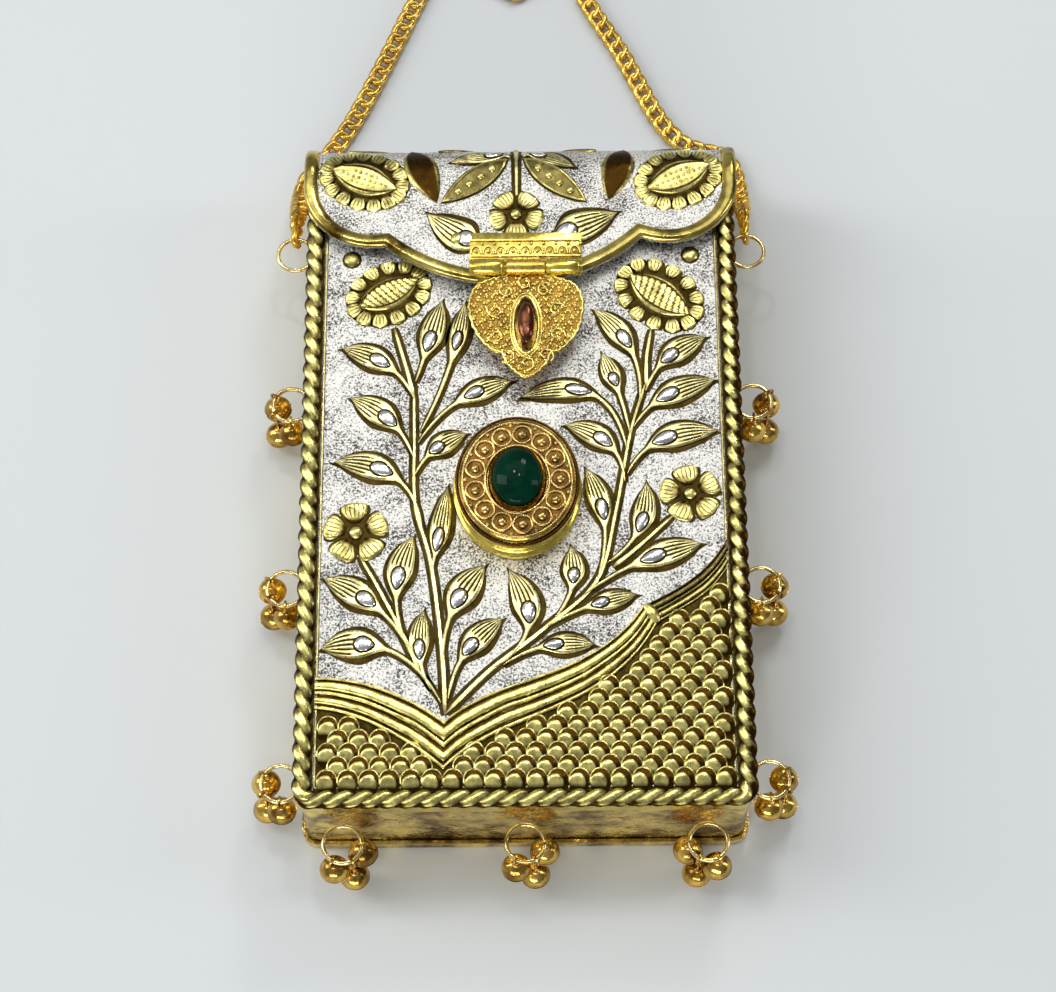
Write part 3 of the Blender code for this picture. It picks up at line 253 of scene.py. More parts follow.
@dataclass(frozen=True)
class Gilt:
    """Gilt metal, bright on the crests and dark with patina in the hollows; where a piece's relief level
    also holds painted shade, that shade shows in the same dark colour.
    """

    name: str
    bright: Colour
    deep: Colour
    roughness: float = 0.24
    patina: float = 0.35
    dents: float = 0.00025
    dent_scale: float = 190.0
    relief: bool = False
    blotch: float = 260.0

    def build(self) -> bpy.types.Material:
        """Makes the material.

        Returns:
            The node material.
        """
        nodes = Nodes(self.name)
        nodes.shader.inputs["Metallic"].default_value = 1.0
        blotch = nodes.span(nodes.noise(self.blotch, 3.0, 0.6), 0.36, 0.60)
        share = nodes.span(blotch, 0.0, 1.0, 1.0 - self.patina, 1.0)
        # The relief level darkens the hollows for patina; on some pieces it also carries painted shade.
        if self.relief:
            crest = nodes.span(nodes.attribute("relief"), 0.20, 0.84)
            share = nodes.combine("MULTIPLY", share, crest)
        nodes.link(nodes.mix(share, self.deep, self.bright), nodes.shader.inputs["Base Color"])
        grime = nodes.span(nodes.noise(900.0, 2.0), 0.3, 0.75, self.roughness * 0.75, self.roughness * 1.5)
        nodes.link(grime, nodes.shader.inputs["Roughness"])
        nodes.bump(nodes.noise(self.dent_scale, 1.0), self.dents)
        nodes.bump(nodes.noise(self.dent_scale * 7, 2.0), self.dents * 0.12)
        return nodes.material


@dataclass(frozen=True)
class Stippled:
    """Silver punched all over with fine dark stipple."""

    name: str
    bright: Colour = (0.93, 0.91, 0.85)
    speck: Colour = (0.06, 0.05, 0.045)
    speck_scale: float = 2100.0

    def build(self) -> bpy.types.Material:
        """Makes the material.

        Returns:
            The node material.
        """
        nodes = Nodes(self.name)
        nodes.shader.inputs["Metallic"].default_value = 1.0
        fine = nodes.noise(self.speck_scale, 3.0, 0.7)
        broad = nodes.span(nodes.noise(120.0, 3.0), 0.3, 0.7, -0.06, 0.07)
        share = nodes.span(nodes.combine("ADD", fine, broad), 0.40, 0.53)
        nodes.link(nodes.mix(share, self.speck, self.bright), nodes.shader.inputs["Base Color"])
        nodes.shader.inputs["Roughness"].default_value = 0.38
        nodes.bump(fine, 0.00025)
        nodes.bump(nodes.cells(900.0), 0.00012)
        return nodes.material


@dataclass(frozen=True)
class Plain:
    """A plain surface with slight mottling: velvet, stone, floor."""

    name: str
    colour: Colour
    second: Colour
    roughness: float = 0.5
    metallic: float = 0.0
    sheen: float = 0.0
    specular: float = 0.5
    scale: float = 400.0
    depth: float = 0.00005

    def build(self) -> bpy.types.Material:
        """Makes the material.

        Returns:
            The node material.
        """
        nodes = Nodes(self.name)
        nodes.shader.inputs["Metallic"].default_value = self.metallic
        nodes.shader.inputs["Roughness"].default_value = self.roughness
        nodes.shader.inputs["Sheen Weight"].default_value = self.sheen
        nodes.shader.inputs["Specular IOR Level"].default_value = self.specular
        share = nodes.span(nodes.noise(self.scale, 3.0), 0.35, 0.65)
        nodes.link(nodes.mix(share, self.colour, self.second), nodes.shader.inputs["Base Color"])
        if self.depth:
            nodes.bump(nodes.noise(self.scale * 2, 2.0), self.depth)
        return nodes.material


class Palette:
    """Every finish of the bag, built once."""

    def __init__(self) -> None:
        """Builds the materials."""
        olive = (0.046, 0.022, 0.003)
        umber = (0.075, 0.030, 0.005)
        self.relief_gold = Gilt("chased_gold", (1.0, 0.88, 0.30), olive, 0.28, 0.55, 0.0004, relief=True,
                                blotch=330.0).build()
        self.leaf_gold = Gilt("leaf_gold", (1.0, 0.90, 0.40), olive, 0.28, 0.42, relief=True,
                              blotch=330.0).build()
        self.rim = Gilt("rim_gold", (0.74, 0.59, 0.16), (0.07, 0.04, 0.005), 0.17, 1.0, 0.0006, 60.0,
                        blotch=75.0).build()
        self.gold = Gilt("sheet_gold", (0.90, 0.71, 0.14), (0.30, 0.20, 0.02), 0.2, 0.5).build()
        self.hammered = Gilt("hammered_gold", (0.98, 0.75, 0.23), (0.15, 0.065, 0.010), 0.22, 0.9,
                             0.0026, 95.0, blotch=130.0).build()
        self.bell = Gilt("bell_gold", (0.80, 0.52, 0.12), (0.14, 0.055, 0.008), 0.15, 0.9, 0.0005, 230.0,
                         blotch=170.0).build()
        self.wire = Gilt("wire_gold", (0.88, 0.72, 0.34), (0.30, 0.17, 0.03), 0.18, 0.6).build()
        self.warm = Gilt("warm_gilt", (0.88, 0.58, 0.12), (0.34, 0.16, 0.02), 0.25, 0.45,
                         0.0001, 400.0).build()
        self.granular = Gilt("granulated_gold", (1.0, 0.82, 0.24), (0.20, 0.10, 0.012), 0.2, 0.35,
                             relief=True).build()
        self.aged = Gilt("aged_granules", (0.86, 0.63, 0.22), umber, 0.25, 0.6, relief=True).build()
        self.ochre = Gilt("ochre_floor", (0.36, 0.20, 0.035), (0.13, 0.06, 0.010), 0.32, 0.8).build()
        # Dark beds round the raised ornament: patina in the chased grooves and painted shadow round the
        # raised parts.
        self.patina = Gilt("patina", (0.060, 0.040, 0.008), (0.02, 0.013, 0.002), 0.4, 0.8).build()
        self.umber = Gilt("umber", (0.22, 0.11, 0.025), (0.07, 0.03, 0.008), 0.4, 0.8).build()
        self.bronze = Gilt("dark_bronze_finish", (0.20, 0.075, 0.04), (0.05, 0.015, 0.01),
                           0.16, 0.7).build()
        self.silver = Stippled("stippled_silver").build()
        self.bright_silver = Plain("polished_silver", (0.90, 0.89, 0.87), (0.66, 0.65, 0.64), 0.2, 1.0,
                                   scale=500.0, depth=0.00012).build()
        self.velvet = Plain("velvet", (0.13, 0.012, 0.02), (0.20, 0.02, 0.03), 0.95, sheen=0.6,
                            scale=2500.0, depth=0.0002).build()
        self.stone = Plain("emerald", (0.0004, 0.014, 0.007), (0.0009, 0.034, 0.015), 0.05,
                           scale=180.0, depth=0.0, specular=0.07).build()


# Modelling tools


class Shop:
    """Modelling steps on Blender operators; every piece is made at its place in world metres."""

    @staticmethod
    def only(obj: Obj) -> None:
        """Selects one object and makes it active.

        Args:
            obj: the object.
        """
        bpy.ops.object.select_all(action="DESELECT")
        obj.select_set(True)
        bpy.context.view_layer.objects.active = obj

    @staticmethod
    @contextmanager
    def editing(obj: Obj) -> Iterator[None]:
        """Edit mode on one object, in face mode with everything selected.

        Args:
            obj: the object to edit.
        """
        Shop.only(obj)
        bpy.ops.object.mode_set(mode="EDIT")
        bpy.ops.mesh.select_mode(type="FACE")
        bpy.ops.mesh.select_all(action="SELECT")
        yield
        bpy.ops.object.mode_set(mode="OBJECT")

    @staticmethod
    def disc(outline: Sequence[Sequence[float]], z: float) -> Obj:
        """A flat n-gon: a circle primitive drawn out to the outline.

        Args:
            outline: the points, anticlockwise from above.
            z: its height.

        Returns:
            The object.
        """
        bpy.ops.object.select_all(action="DESELECT")
        bpy.ops.mesh.primitive_circle_add(vertices=len(outline), radius=1.0, fill_type="NGON")
        obj = bpy.context.object
        order = sorted(obj.data.vertices, key=lambda v: math.atan2(v.co.y, v.co.x) % TURN)
        for vertex, point in zip(order, outline):
            vertex.co = (point[0], point[1], z)
        return obj

    @staticmethod
    def rise(obj: Obj, steps: Sequence[tuple[float, float]]) -> Obj:
        """Insets a flat face again and again.

        Args:
            obj: a flat n-gon.
            steps: pairs of inset thickness and change in height.

        Returns:
            The same object.
        """
        Shop.outward(obj)
        up = obj.data.polygons[0].normal.z >= 0
        with Shop.editing(obj):
            if not up:
                bpy.ops.mesh.flip_normals()
            for thickness, depth in steps:
                bpy.ops.mesh.inset(thickness=thickness, depth=depth, use_boundary=True, use_even_offset=True)
        return obj

    @staticmethod
    def tube(points: Sequence[Sequence[float]], radius: float | Sequence[float], cyclic: bool = False,
             sides: int = 2, flat: float = 1.0, base: float = 0.0) -> Obj:
        """A curve with a round section, turned into a mesh.

        Args:
            points: places along it.
            radius: one radius, or one per point.
            cyclic: whether its ends meet.
            sides: resolution of the round section.
            flat: share by which heights over base are pressed down.
            base: the height that stays where it is.

        Returns:
            The mesh object.
        """
        curve = bpy.data.curves.new("path", "CURVE")
        curve.dimensions = "3D"
        curve.bevel_depth = 1.0
        curve.bevel_resolution = sides - 1
        curve.use_fill_caps = not cyclic
        spline = curve.splines.new("POLY")
        spline.points.add(len(points) - 1)
        spline.use_cyclic_u = cyclic
        radii = radius if isinstance(radius, (list, tuple)) else [radius] * len(points)
        for target, point, size in zip(spline.points, points, radii):
            target.co = (*point, 1.0)
            target.radius = size
        obj = bpy.data.objects.new("path", curve)
        bpy.context.collection.objects.link(obj)
        Shop.only(obj)
        bpy.ops.object.convert(target="MESH")
        made = bpy.context.object
        if flat != 1.0:
            for vertex in made.data.vertices:
                vertex.co.z = base + (vertex.co.z - base) * flat
        return made

    @staticmethod
    def ball(centre: Sequence[float], size: Sequence[float], turn: float = 0.0,
             segments: int = 12, rings: int = 8) -> Obj:
        """A UV sphere with these half sizes, turned about Z.

        Args:
            centre: its place.
            size: half sizes along its own X, Y and Z.
            turn: angle in radians.
            segments: meridians.
            rings: parallels.

        Returns:
            The object.
        """
        bpy.ops.object.select_all(action="DESELECT")
        bpy.ops.mesh.primitive_uv_sphere_add(segments=segments, ring_count=rings, radius=1.0)
        obj = bpy.context.object
        turned = Matrix.Rotation(turn, 4, "Z") @ Matrix.Diagonal((*size, 1.0))
        obj.data.transform(Matrix.Translation(Vector(centre)) @ turned)
        return obj

    @staticmethod
    def ring(centre: Sequence[float], major: float, minor: float, turn: Matrix | None = None,
             segments: int = 24, sides: int = 8) -> Obj:
        """A torus about Z, or turned by a matrix.

        Args:
            centre: its place.
            major: radius to the wire's middle.
            minor: the wire's radius.
            turn: a rotation, if it isn't level.
            segments: steps round it.
            sides: steps round the wire.

        Returns:
            The object.
        """
        bpy.ops.object.select_all(action="DESELECT")
        bpy.ops.mesh.primitive_torus_add(major_radius=major, minor_radius=minor, major_segments=segments,
                                         minor_segments=sides)
        obj = bpy.context.object
        obj.data.transform(Matrix.Translation(Vector(centre)) @ (turn or Matrix.Identity(4)))
        return obj

    @staticmethod
    def grid(columns: int, rows: int, place: Callable[[float, float], Sequence[float]],
             level: Callable[[float, float], float] | None = None) -> Obj:
        """A grid primitive laid over a surface.

        Args:
            columns: faces along the first way.
            rows: faces along the second way.
            place: gives the point for two shares from 0 to 1.
            level: gives the relief level there, if it isn't marked from the height.

        Returns:
            The object.
        """
        bpy.ops.object.select_all(action="DESELECT")
        bpy.ops.mesh.primitive_grid_add(x_subdivisions=columns, y_subdivisions=rows, size=2.0)
        obj = bpy.context.object
        levels = obj.data.attributes.new("relief", "FLOAT", "POINT") if level else None
        for i, vertex in enumerate(obj.data.vertices):
            u, w = (vertex.co.x + 1) / 2, (vertex.co.y + 1) / 2
            vertex.co = place(u, w)
            if levels:
                levels.data[i].value = min(1.0, max(0.0, level(u, w)))
        return obj

    @staticmethod
    def copy(obj: Obj, matrix: Matrix) -> Obj:
        """A copy with its own mesh, moved by a matrix.

        Args:
            obj: the model.
            matrix: where the copy goes.

        Returns:
            The copy.
        """
        made = obj.copy()
        made.data = obj.data.copy()
        made.data.transform(matrix)
        bpy.context.collection.objects.link(made)
        return made

    @staticmethod
    def from_node(node: Obj, bevel: float, segments: int = 2,
                  angle: float = 30.0) -> Obj:
        """A merged copy of a CAD node with its edges rounded.

        Args:
            node: the CAD object.
            bevel: the rounding's width.
            segments: steps of the rounding.
            angle: edges sharper than this are rounded.

        Returns:
            The copy.
        """
        made = node.copy()
        made.data = node.data.copy()
        made.data.materials.clear()
        made.parent = None
        made.matrix_world = node.matrix_world.copy()
        bpy.context.collection.objects.link(made)
        Shop.only(made)
        bpy.ops.object.transform_apply(location=True, rotation=True, scale=True)
        with Shop.editing(made):
            bpy.ops.mesh.remove_doubles(threshold=MERGE)
            bpy.ops.mesh.dissolve_limited(angle_limit=math.radians(1.0))
            bpy.ops.mesh.normals_make_consistent(inside=False)
        if bevel:
            Shop.modify(made, "BEVEL", width=bevel, segments=segments, limit_method="ANGLE",
                        angle_limit=math.radians(angle))
        return made

    @staticmethod
    def modify(obj: Obj, kind: str, **settings: object) -> None:
        """Adds a modifier and applies it.

        Args:
            obj: the object to change.
            kind: the modifier's type.
            settings: its settings by name.
        """
        Shop.only(obj)
        modifier = obj.modifiers.new(kind.title(), kind)
        for name, value in settings.items():
            setattr(modifier, name, value)
        bpy.ops.object.modifier_apply(modifier=modifier.name)

    @staticmethod
    def mark(obj: Obj, low: float, high: float) -> Obj:
        """Stores how high each point stands in its relief, from 0 at low to 1 at high.

        Args:
            obj: a piece that still lies flat.
            low: the ground's height.
            high: the crest's height.

        Returns:
            The same object.
        """
        mesh = obj.data
        if "relief" in mesh.attributes:
            mesh.attributes.remove(mesh.attributes["relief"])
        levels = mesh.attributes.new("relief", "FLOAT", "POINT")
        for vertex, level in zip(mesh.vertices, levels.data):
            level.value = min(1.0, max(0.0, (vertex.co.z - low) / (high - low)))
        return obj

    @staticmethod
    def join(name: str, parts: Sequence[Obj]) -> Obj:
        """Joins objects into one.

        Args:
            name: the result's name.
            parts: the objects.

        Returns:
            The joined object.
        """
        bpy.ops.object.select_all(action="DESELECT")
        for part in parts:
            part.select_set(True)
        bpy.context.view_layer.objects.active = parts[0]
        if len(parts) > 1:
            bpy.ops.object.join()
        made = bpy.context.object
        made.name = name
        made.data.name = name
        return made

    @staticmethod
    def extrude(obj: Obj, height: float) -> None:
        """Draws a whole flat piece up by this height."""
        with Shop.editing(obj):
            bpy.ops.mesh.extrude_region_move(TRANSFORM_OT_translate={"value": (0, 0, height)})

    @staticmethod
    def cut(obj: Obj, tool: Obj) -> None:
        """Takes the tool's volume out of a piece and throws the tool away."""
        Shop.modify(obj, "BOOLEAN", operation="DIFFERENCE", object=tool, solver="EXACT")
        bpy.data.objects.remove(tool, do_unlink=True)

    @staticmethod
    def weld(obj: Obj) -> None:
        """Closes the seams and poles of a piece made from a grid."""
        Shop.modify(obj, "WELD", merge_threshold=MERGE)

    @staticmethod
    def outward(obj: Obj) -> None:
        """Turns every face outwards."""
        with Shop.editing(obj):
            bpy.ops.mesh.normals_make_consistent(inside=False)

    @staticmethod
    def done(obj: Obj, name: str, finish: bpy.types.Material, body: str, slot: Slot,
             replaces: Sequence[str] = (), smooth: float = 45.0) -> Obj:
        """Names a finished piece, gives it its finish and hangs it on its body.

        Args:
            obj: the piece.
            name: its name.
            finish: its material.
            body: the CAD body it rides on.
            slot: the record's material slot; not used.
            replaces: CAD nodes it stands for.
            smooth: edges flatter than this are shaded smooth, in degrees.

        Returns:
            The piece.
        """
        obj.name = name
        obj.data.name = name
        if not obj.data.materials:
            obj.data.materials.append(finish)
        Shop.only(obj)
        bpy.ops.object.shade_smooth_by_angle(angle=math.radians(smooth))
        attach(obj, body)
        if replaces:
            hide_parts(*replaces)
        LOG.info("%s: %d faces on %s", name, len(obj.data.polygons), body)
        return obj


def bezier(points: Sequence[Sequence[float]], t: float) -> Vector:
    """The point on a Bezier curve of any degree.

    Args:
        points: its control points.
        t: share of the way, 0 to 1.

    Returns:
        The point.
    """
    work = [Vector(point) for point in points]
    while len(work) > 1:
        work = [a.lerp(b, t) for a, b in zip(work, work[1:])]
    return work[0]


def through(points: Sequence[Sequence[float]], steps: int, cyclic: bool = False) -> list[Vector]:
    """A smooth curve through the points.

    Args:
        points: the places it passes.
        steps: points per stretch.
        cyclic: whether it closes.

    Returns:
        The curve's points.
    """
    known = [Vector(p) for p in points]
    if cyclic:
        known = [known[-1], *known, known[0], known[1]]
    else:
        known = [2 * known[0] - known[1], *known, 2 * known[-1] - known[-2]]
    found = []
    for a, b, c, d in zip(known, known[1:], known[2:], known[3:]):
        for i in range(steps):
            t = i / steps
            found.append(0.5 * (2 * b + (c - a) * t + (2 * a - 5 * b + 4 * c - d) * t * t
                                + (3 * b - a - 3 * c + d) * t ** 3))
    if not cyclic:
        found.append(known[-2])
    return found


# The bag's own form


@dataclass(frozen=True)
class BagForm:
    """Sizes that the CAD frame and the ornament share."""

    half_width: float = 55 * MM
    half_height: float = 90 * MM
    ground: float = 32.2 * MM
    flange: float = 3.3 * MM
    top_cut: float = 4.5 * MM
    corner: float = 4 * MM
    rope_width: float = 4.2 * MM
    rope_base: float = 32.5 * MM

    def at(self, point: Sequence[float]) -> Vector:
        """(x, v) in mm as (X, Y) in metres."""
        return Vector((point[0] * MM, point[1] * MM - self.half_height))


@dataclass(frozen=True)
class FlapForm:
    """The flap's development and its fold, as in the CAD part."""

    width: float = 112 * MM
    sheet: float = 0.9 * MM
    radius: float = 11 * MM
    inner_z: float = 34.9 * MM
    inner_y: float = 91.4 * MM
    rear_z: float = 4.2 * MM
    tip_v: float = 137.9 * MM
    bend_cuts: int = 16

    @property
    def bend_start(self) -> float:
        """Reach at which the rear panel starts to bend."""
        return self.inner_z - self.radius - self.rear_z

    @property
    def bend_end(self) -> float:
        """Reach at which the front starts."""
        return self.bend_start + QUARTER * self.radius

    def reach(self, y: float) -> float:
        """Reach along the sheet of a Y on the front."""
        return self.bend_end + (self.inner_y - self.radius - y)

    def up(self, height_mm: float) -> float:
        """Reach of a place this far in mm above the tip."""
        return self.reach(self.tip_v - BAG.half_height) - height_mm * MM

    def fold(self, point: Sequence[float]) -> Vector:
        """Takes (x, reach, height) to its place on the folded flap.

        Args:
            point: a place on the flat sheet.

        Returns:
            The folded place.
        """
        x, reach, height = point
        centre = Vector((0, self.inner_y - self.radius, self.inner_z - self.radius))
        if reach <= self.bend_start:
            return Vector((x, self.inner_y + height, self.rear_z + reach))
        if reach >= self.bend_end:
            return Vector((x, centre.y - (reach - self.bend_end), self.inner_z + height))
        angle = (reach - self.bend_start) / self.radius
        out = self.radius + height
        return Vector((x, centre.y + out * math.cos(angle), centre.z + out * math.sin(angle)))

    def bend(self, obj: Obj) -> Obj:
        """Cuts a flat piece across the bend and folds it.

        Args:
            obj: a piece in sheet coordinates.

        Returns:
            The same object.
        """
        reaches = [v.co.y for v in obj.data.vertices]
        with Shop.editing(obj):
            for i in range(self.bend_cuts + 1):
                stop = self.bend_start + (self.bend_end - self.bend_start) * i / self.bend_cuts
                if min(reaches) < stop < max(reaches):
                    bpy.ops.mesh.select_all(action="SELECT")
                    bpy.ops.mesh.bisect(plane_co=(0, stop, 0), plane_no=(0, 1, 0), threshold=1e-7)
        for vertex in obj.data.vertices:
            vertex.co = self.fold(vertex.co)
        Shop.outward(obj)
        return obj


BAG = BagForm()
FLAP = FlapForm()


# Chased ornament


@dataclass(frozen=True)
class Leaf:
    """A leaf with its stalk: root on the stem, base, tip, width in mm, and how its stalk bows."""

    root: Point
    base: Point
    tip: Point
    width: float


def dull(_along: float, _across: float) -> float:
    """The relief level of a dark bed: none."""
    return 0.0


class Chaser:
    """Makes leaves, drops, stalks and flowers on a flat ground of any height."""

    def __init__(self, palette: Palette, ground: float, place: Callable[[Point], Vector]) -> None:
        """Keeps the ground and starts empty piles for the finishes.

        Args:
            palette: the finishes.
            ground: the height of the surface.
            place: takes a point in mm to its place in metres.
        """
        self.palette = palette
        self.ground = ground
        self.place = place
        self.gold: list[Obj] = []
        self.leaves: list[Obj] = []
        # Dark beds under the raised parts: patina in the chased grooves and painted shadow round them.
        self.dark: list[Obj] = []
        self.silver: list[Obj] = []

    @staticmethod
    def outline(base: Vector, tip: Vector, width: float, grow: float = 0.0, fullness: float = 0.8,
                count: int = 10) -> list[Vector]:
        """A pointed oval, wider towards its base.

        Args:
            base: its first end.
            tip: its point.
            width: its greatest width.
            grow: how far it stands out beyond that shape.
            fullness: smaller values give blunter ends.
            count: steps along each side.

        Returns:
            Points, anticlockwise.
        """
        along = (tip - base).normalized()
        side = Vector((-along.y, along.x))
        length = (tip - base).length + 2 * grow
        start = base - along * grow
        half = width / 2 + grow
        right, left = [], []
        for i in range(count + 1):
            t = i / count
            reach = half * math.sin(math.pi * t ** 0.92) ** fullness if 0 < i < count else 0.0
            right.append(start + along * (length * t) - side * reach)
            left.append(start + along * (length * t) + side * reach)
        return right + left[-2:0:-1]

    def plate(self, outline: Sequence[Vector], steps: Sequence[tuple[float, float]], pile: list,
              lift: float = 0.0, crest: float = 0.9 * MM) -> Obj:
        """A raised plate from an outline.

        Args:
            outline: its edge.
            steps: insets with their change of height.
            pile: the finish's pile.
            lift: height over the ground of its edge.
            crest: the height that counts as fully bright.

        Returns:
            The object.
        """
        obj = Shop.disc(outline, self.ground + lift)
        Shop.rise(obj, steps)
        Shop.mark(obj, self.ground, self.ground + crest)
        pile.append(obj)
        return obj

    def drop(self, centre: Vector, along: Vector, length: float, width: float, height: float) -> None:
        """A silver tear with a dark seat of patina and painted shadow.

        Args:
            centre: its middle.
            along: the way its point looks.
            length: its length.
            width: its width.
            height: height of the surface under it.
        """
        turn = math.atan2(along.y, along.x)
        for grow, rise, pile in ((0.42 * MM, 0.34 * MM, self.dark), (0.0, 0.62 * MM, self.silver)):
            obj = Shop.ball((0, 0, 0), (length / 2 + grow, width / 2 + grow, rise), segments=18, rings=10)
            for vertex in obj.data.vertices:
                share = (vertex.co.x / (length / 2 + grow) + 1) / 2
                vertex.co.y *= 1.1 - 0.5 * share ** 2.2
            seat = Matrix.Translation((*centre, self.ground + height))
            obj.data.transform(seat @ Matrix.Rotation(turn, 4, "Z"))
            Shop.mark(obj, self.ground, self.ground + 0.9 * MM)
            pile.append(obj)

    def stroke(self, points: Sequence[Vector], widths: Sequence[float], height: float,
               shadow: float = 0.75 * MM) -> None:
        """A raised gold line with a dark bed of patina and painted shadow.

        Args:
            points: flat places along it.
            widths: its width at each of them.
            height: its height.
            shadow: how far the bed stands out.
        """
        for grow, rise, pile in ((shadow, 0.07 * MM, self.dark), (0.0, height, self.leaves)):
            path = [(*p, self.ground) for p in points]
            radii = [w / 2 + grow for w in widths]
            obj = Shop.tube(path, radii, flat=rise / (max(widths) / 2 + grow), base=self.ground)
            Shop.mark(obj, self.ground - 0.2 * MM, self.ground + height)
            pile.append(obj)

    def swept(self, axis: Sequence[Vector], half: Callable[[float], float],
              surface: Callable[[float, float], float], level: Callable[[float, float], float],
              pile: list, columns: int = 22, rows: int = 32, shift: Sequence[float] = (0.0, 0.0)) -> None:
        """A raised patch that follows a line.

        Args:
            axis: the line's points.
            half: half its width for a share of the line.
            surface: its height for a share of the line and a place across from -1 to 1.
            level: its relief level for the same.
            pile: the finish's pile.
            columns: faces along it.
            rows: faces across it.
            shift: how far the patch is moved sideways; the dark beds are moved down and right as painted
                shadow.
        """
        last = len(axis) - 1

        def place(u: float, w: float) -> tuple[float, float, float]:
            """The patch's point for two shares."""
            i = min(int(u * last), last - 1)
            middle = axis[i].lerp(axis[i + 1], u * last - i)
            along = (axis[min(i + 2, last)] - axis[max(i - 1, 0)]).normalized()
            across = 2 * w - 1
            reach = half(u) * across
            return (middle.x - along.y * reach + shift[0], middle.y + along.x * reach + shift[1],
                    self.ground + surface(u, across))

        pile.append(Shop.grid(columns, rows, place, lambda u, w: level(u, 2 * w - 1)))

    def leaf(self, leaf: Leaf) -> None:
        """A feather leaf that grows out of its stalk, with a silver tear and cut lines towards its tip.

        Args:
            leaf: its places in mm.
        """
        root, base, tip = self.place(leaf.root), self.place(leaf.base), self.place(leaf.tip)
        stalk, blade = (base - root).length, (tip - base).length
        start = min(0.72, max(0.04, stalk / max(stalk + blade, 1e-6)))
        pull = min(0.70, max(0.30, start))
        bow = (base - root * (1 - pull) ** 2 - tip * pull ** 2) / (2 * pull * (1 - pull))
        axis = [bezier((root, bow, tip), i / 24) for i in range(25)]
        full = leaf.width * MM / 2 * 1.12
        widest = 0.56

        def along(u: float) -> float:
            """Share of the blade at this share of the whole."""
            return max(0.0, (u - start * 0.8) / (1 - start * 0.8))

        def half(u: float) -> float:
            """Half the width."""
            t = along(u)
            if t < widest:
                swell = 0.5 - 0.5 * math.cos(math.pi * t / widest)
            else:
                swell = (1 - ((t - widest) / (1 - widest)) ** 1.9) ** 0.8
            stem = (0.42 + 0.30 * u) * MM * (1 - t) ** 0.5
            return max(full * swell, stem * min(1.0, 0.3 + 6 * u))

        def surface(u: float, s: float) -> float:
            """Height: a round back that sinks inside a raised rim, with cut lines."""
            t = along(u)
            body = 0.72 * MM * (1 - abs(s) ** 3) ** 0.6
            sink = 0.22 * MM * math.sin(math.pi * min(1.0, t * 1.1)) * (1 - min(1.0, abs(s) / 0.72) ** 4)
            cut = level(u, s) < 0.3 and 0.3 < t < 0.97 and abs(s) < 0.8
            return body - sink - (0.12 * MM if cut else 0.0)

        def level(u: float, s: float) -> float:
            """Relief: dark at the edge and in the cut lines, with painted shade on the way to the tip and
            down one side.
            """
            t = along(u)
            row = round((s + 1) * 16)
            if abs(s) > 0.90:
                return 0.1
            end = 0.95 - 0.13 * abs(s)
            if (row - 1) % 5 < 2 and 3 < row < 29 and 0.54 + 0.08 * abs(s) < t < end:
                return 0.0
            # Painted shade: darker towards the tip and on the side where s is over 0.4.
            return 1.0 - 0.62 * max(0.0, t - 0.76) / 0.24 - 0.7 * max(0.0, s - 0.4)

        self.swept(axis, half, surface, level, self.leaves)
        beyond = axis[-1] + (axis[-1] - axis[-2]).normalized() * 1.5 * MM

        def shadow(u: float) -> float:
            """Half the bed's width: the bed, patina with painted shadow, runs on past the tip to a point."""
            inner = min(1.0, u / 0.93)
            wide = half(inner) + (0.60 + 0.50 * along(inner)) * MM
            return wide * (1 - max(0.0, (u - 0.90) / 0.10) ** 1.3)

        # The dark bed is set down and to the right as painted shadow.
        self.swept([*axis, beyond], shadow, lambda u, s: 0.06 * MM, dull, self.dark, 26, 4,
                   (0.20 * MM, -0.26 * MM))
        middle = start * 0.8 + (1 - start * 0.8) * 0.42
        i = round(middle * 24)
        way = (axis[i - 1] - axis[i + 1]).normalized()
        self.drop(axis[i], way, blade * 0.34, full * 0.92, 0.50 * MM)

    def petal(self, start: Vector, end: Vector, width: float, lines: int, columns: int = 12) -> None:
        """A fan-shaped petal with a raised rim and radial cuts.

        Args:
            start: its inner end.
            end: its outer end.
            width: its greatest width.
            lines: how many cuts it has.
            columns: faces along it.
        """
        axis = [start.lerp(end, i / 4) for i in range(5)]

        def half(u: float) -> float:
            """Half the width."""
            fan = 0.34 + 0.66 * math.sin(QUARTER * min(1.0, u / 0.66))
            rounding = math.sqrt(max(0.0, 1 - (max(0.0, u - 0.72) / 0.28) ** 2))
            return width / 2 * fan * rounding

        def surface(u: float, s: float) -> float:
            """Height: cupped, with its rim up."""
            edge = (1 - abs(s) ** 4) ** 0.5 * (1 - u ** 8) ** 0.5
            return (0.35 + 0.5 * max(s * s, u * u)) * MM * edge

        def level(u: float, s: float) -> float:
            """Relief: dark towards the heart and in the cuts."""
            if abs(s) > 0.97:
                return 0.1
            cut = abs((s * (lines + 1) / 2) % 1 - 0.5) > 0.38 and 0.28 < u < 0.86 and abs(s) < 0.85
            return 0.1 if cut else 0.05 + 0.95 * min(1.0, u / 0.6)

        rows = 4 * (lines + 1)
        self.swept(axis, half, surface, level, self.gold, columns, rows)
        # Dark bed: patina with painted shadow, set down and to the right.
        self.swept(axis, lambda u: half(u) + 0.5 * MM, lambda u, s: 0.07 * MM, dull, self.dark, 6, 4,
                   (0.1 * MM, -0.16 * MM))

    def flower(self, centre: Vector, radius: float, turn: float, petals: int = 5) -> None:
        """A rosette of cupped petals round a boss.

        Args:
            centre: its middle.
            radius: its radius.
            turn: angle of the first petal in degrees.
            petals: how many.
        """
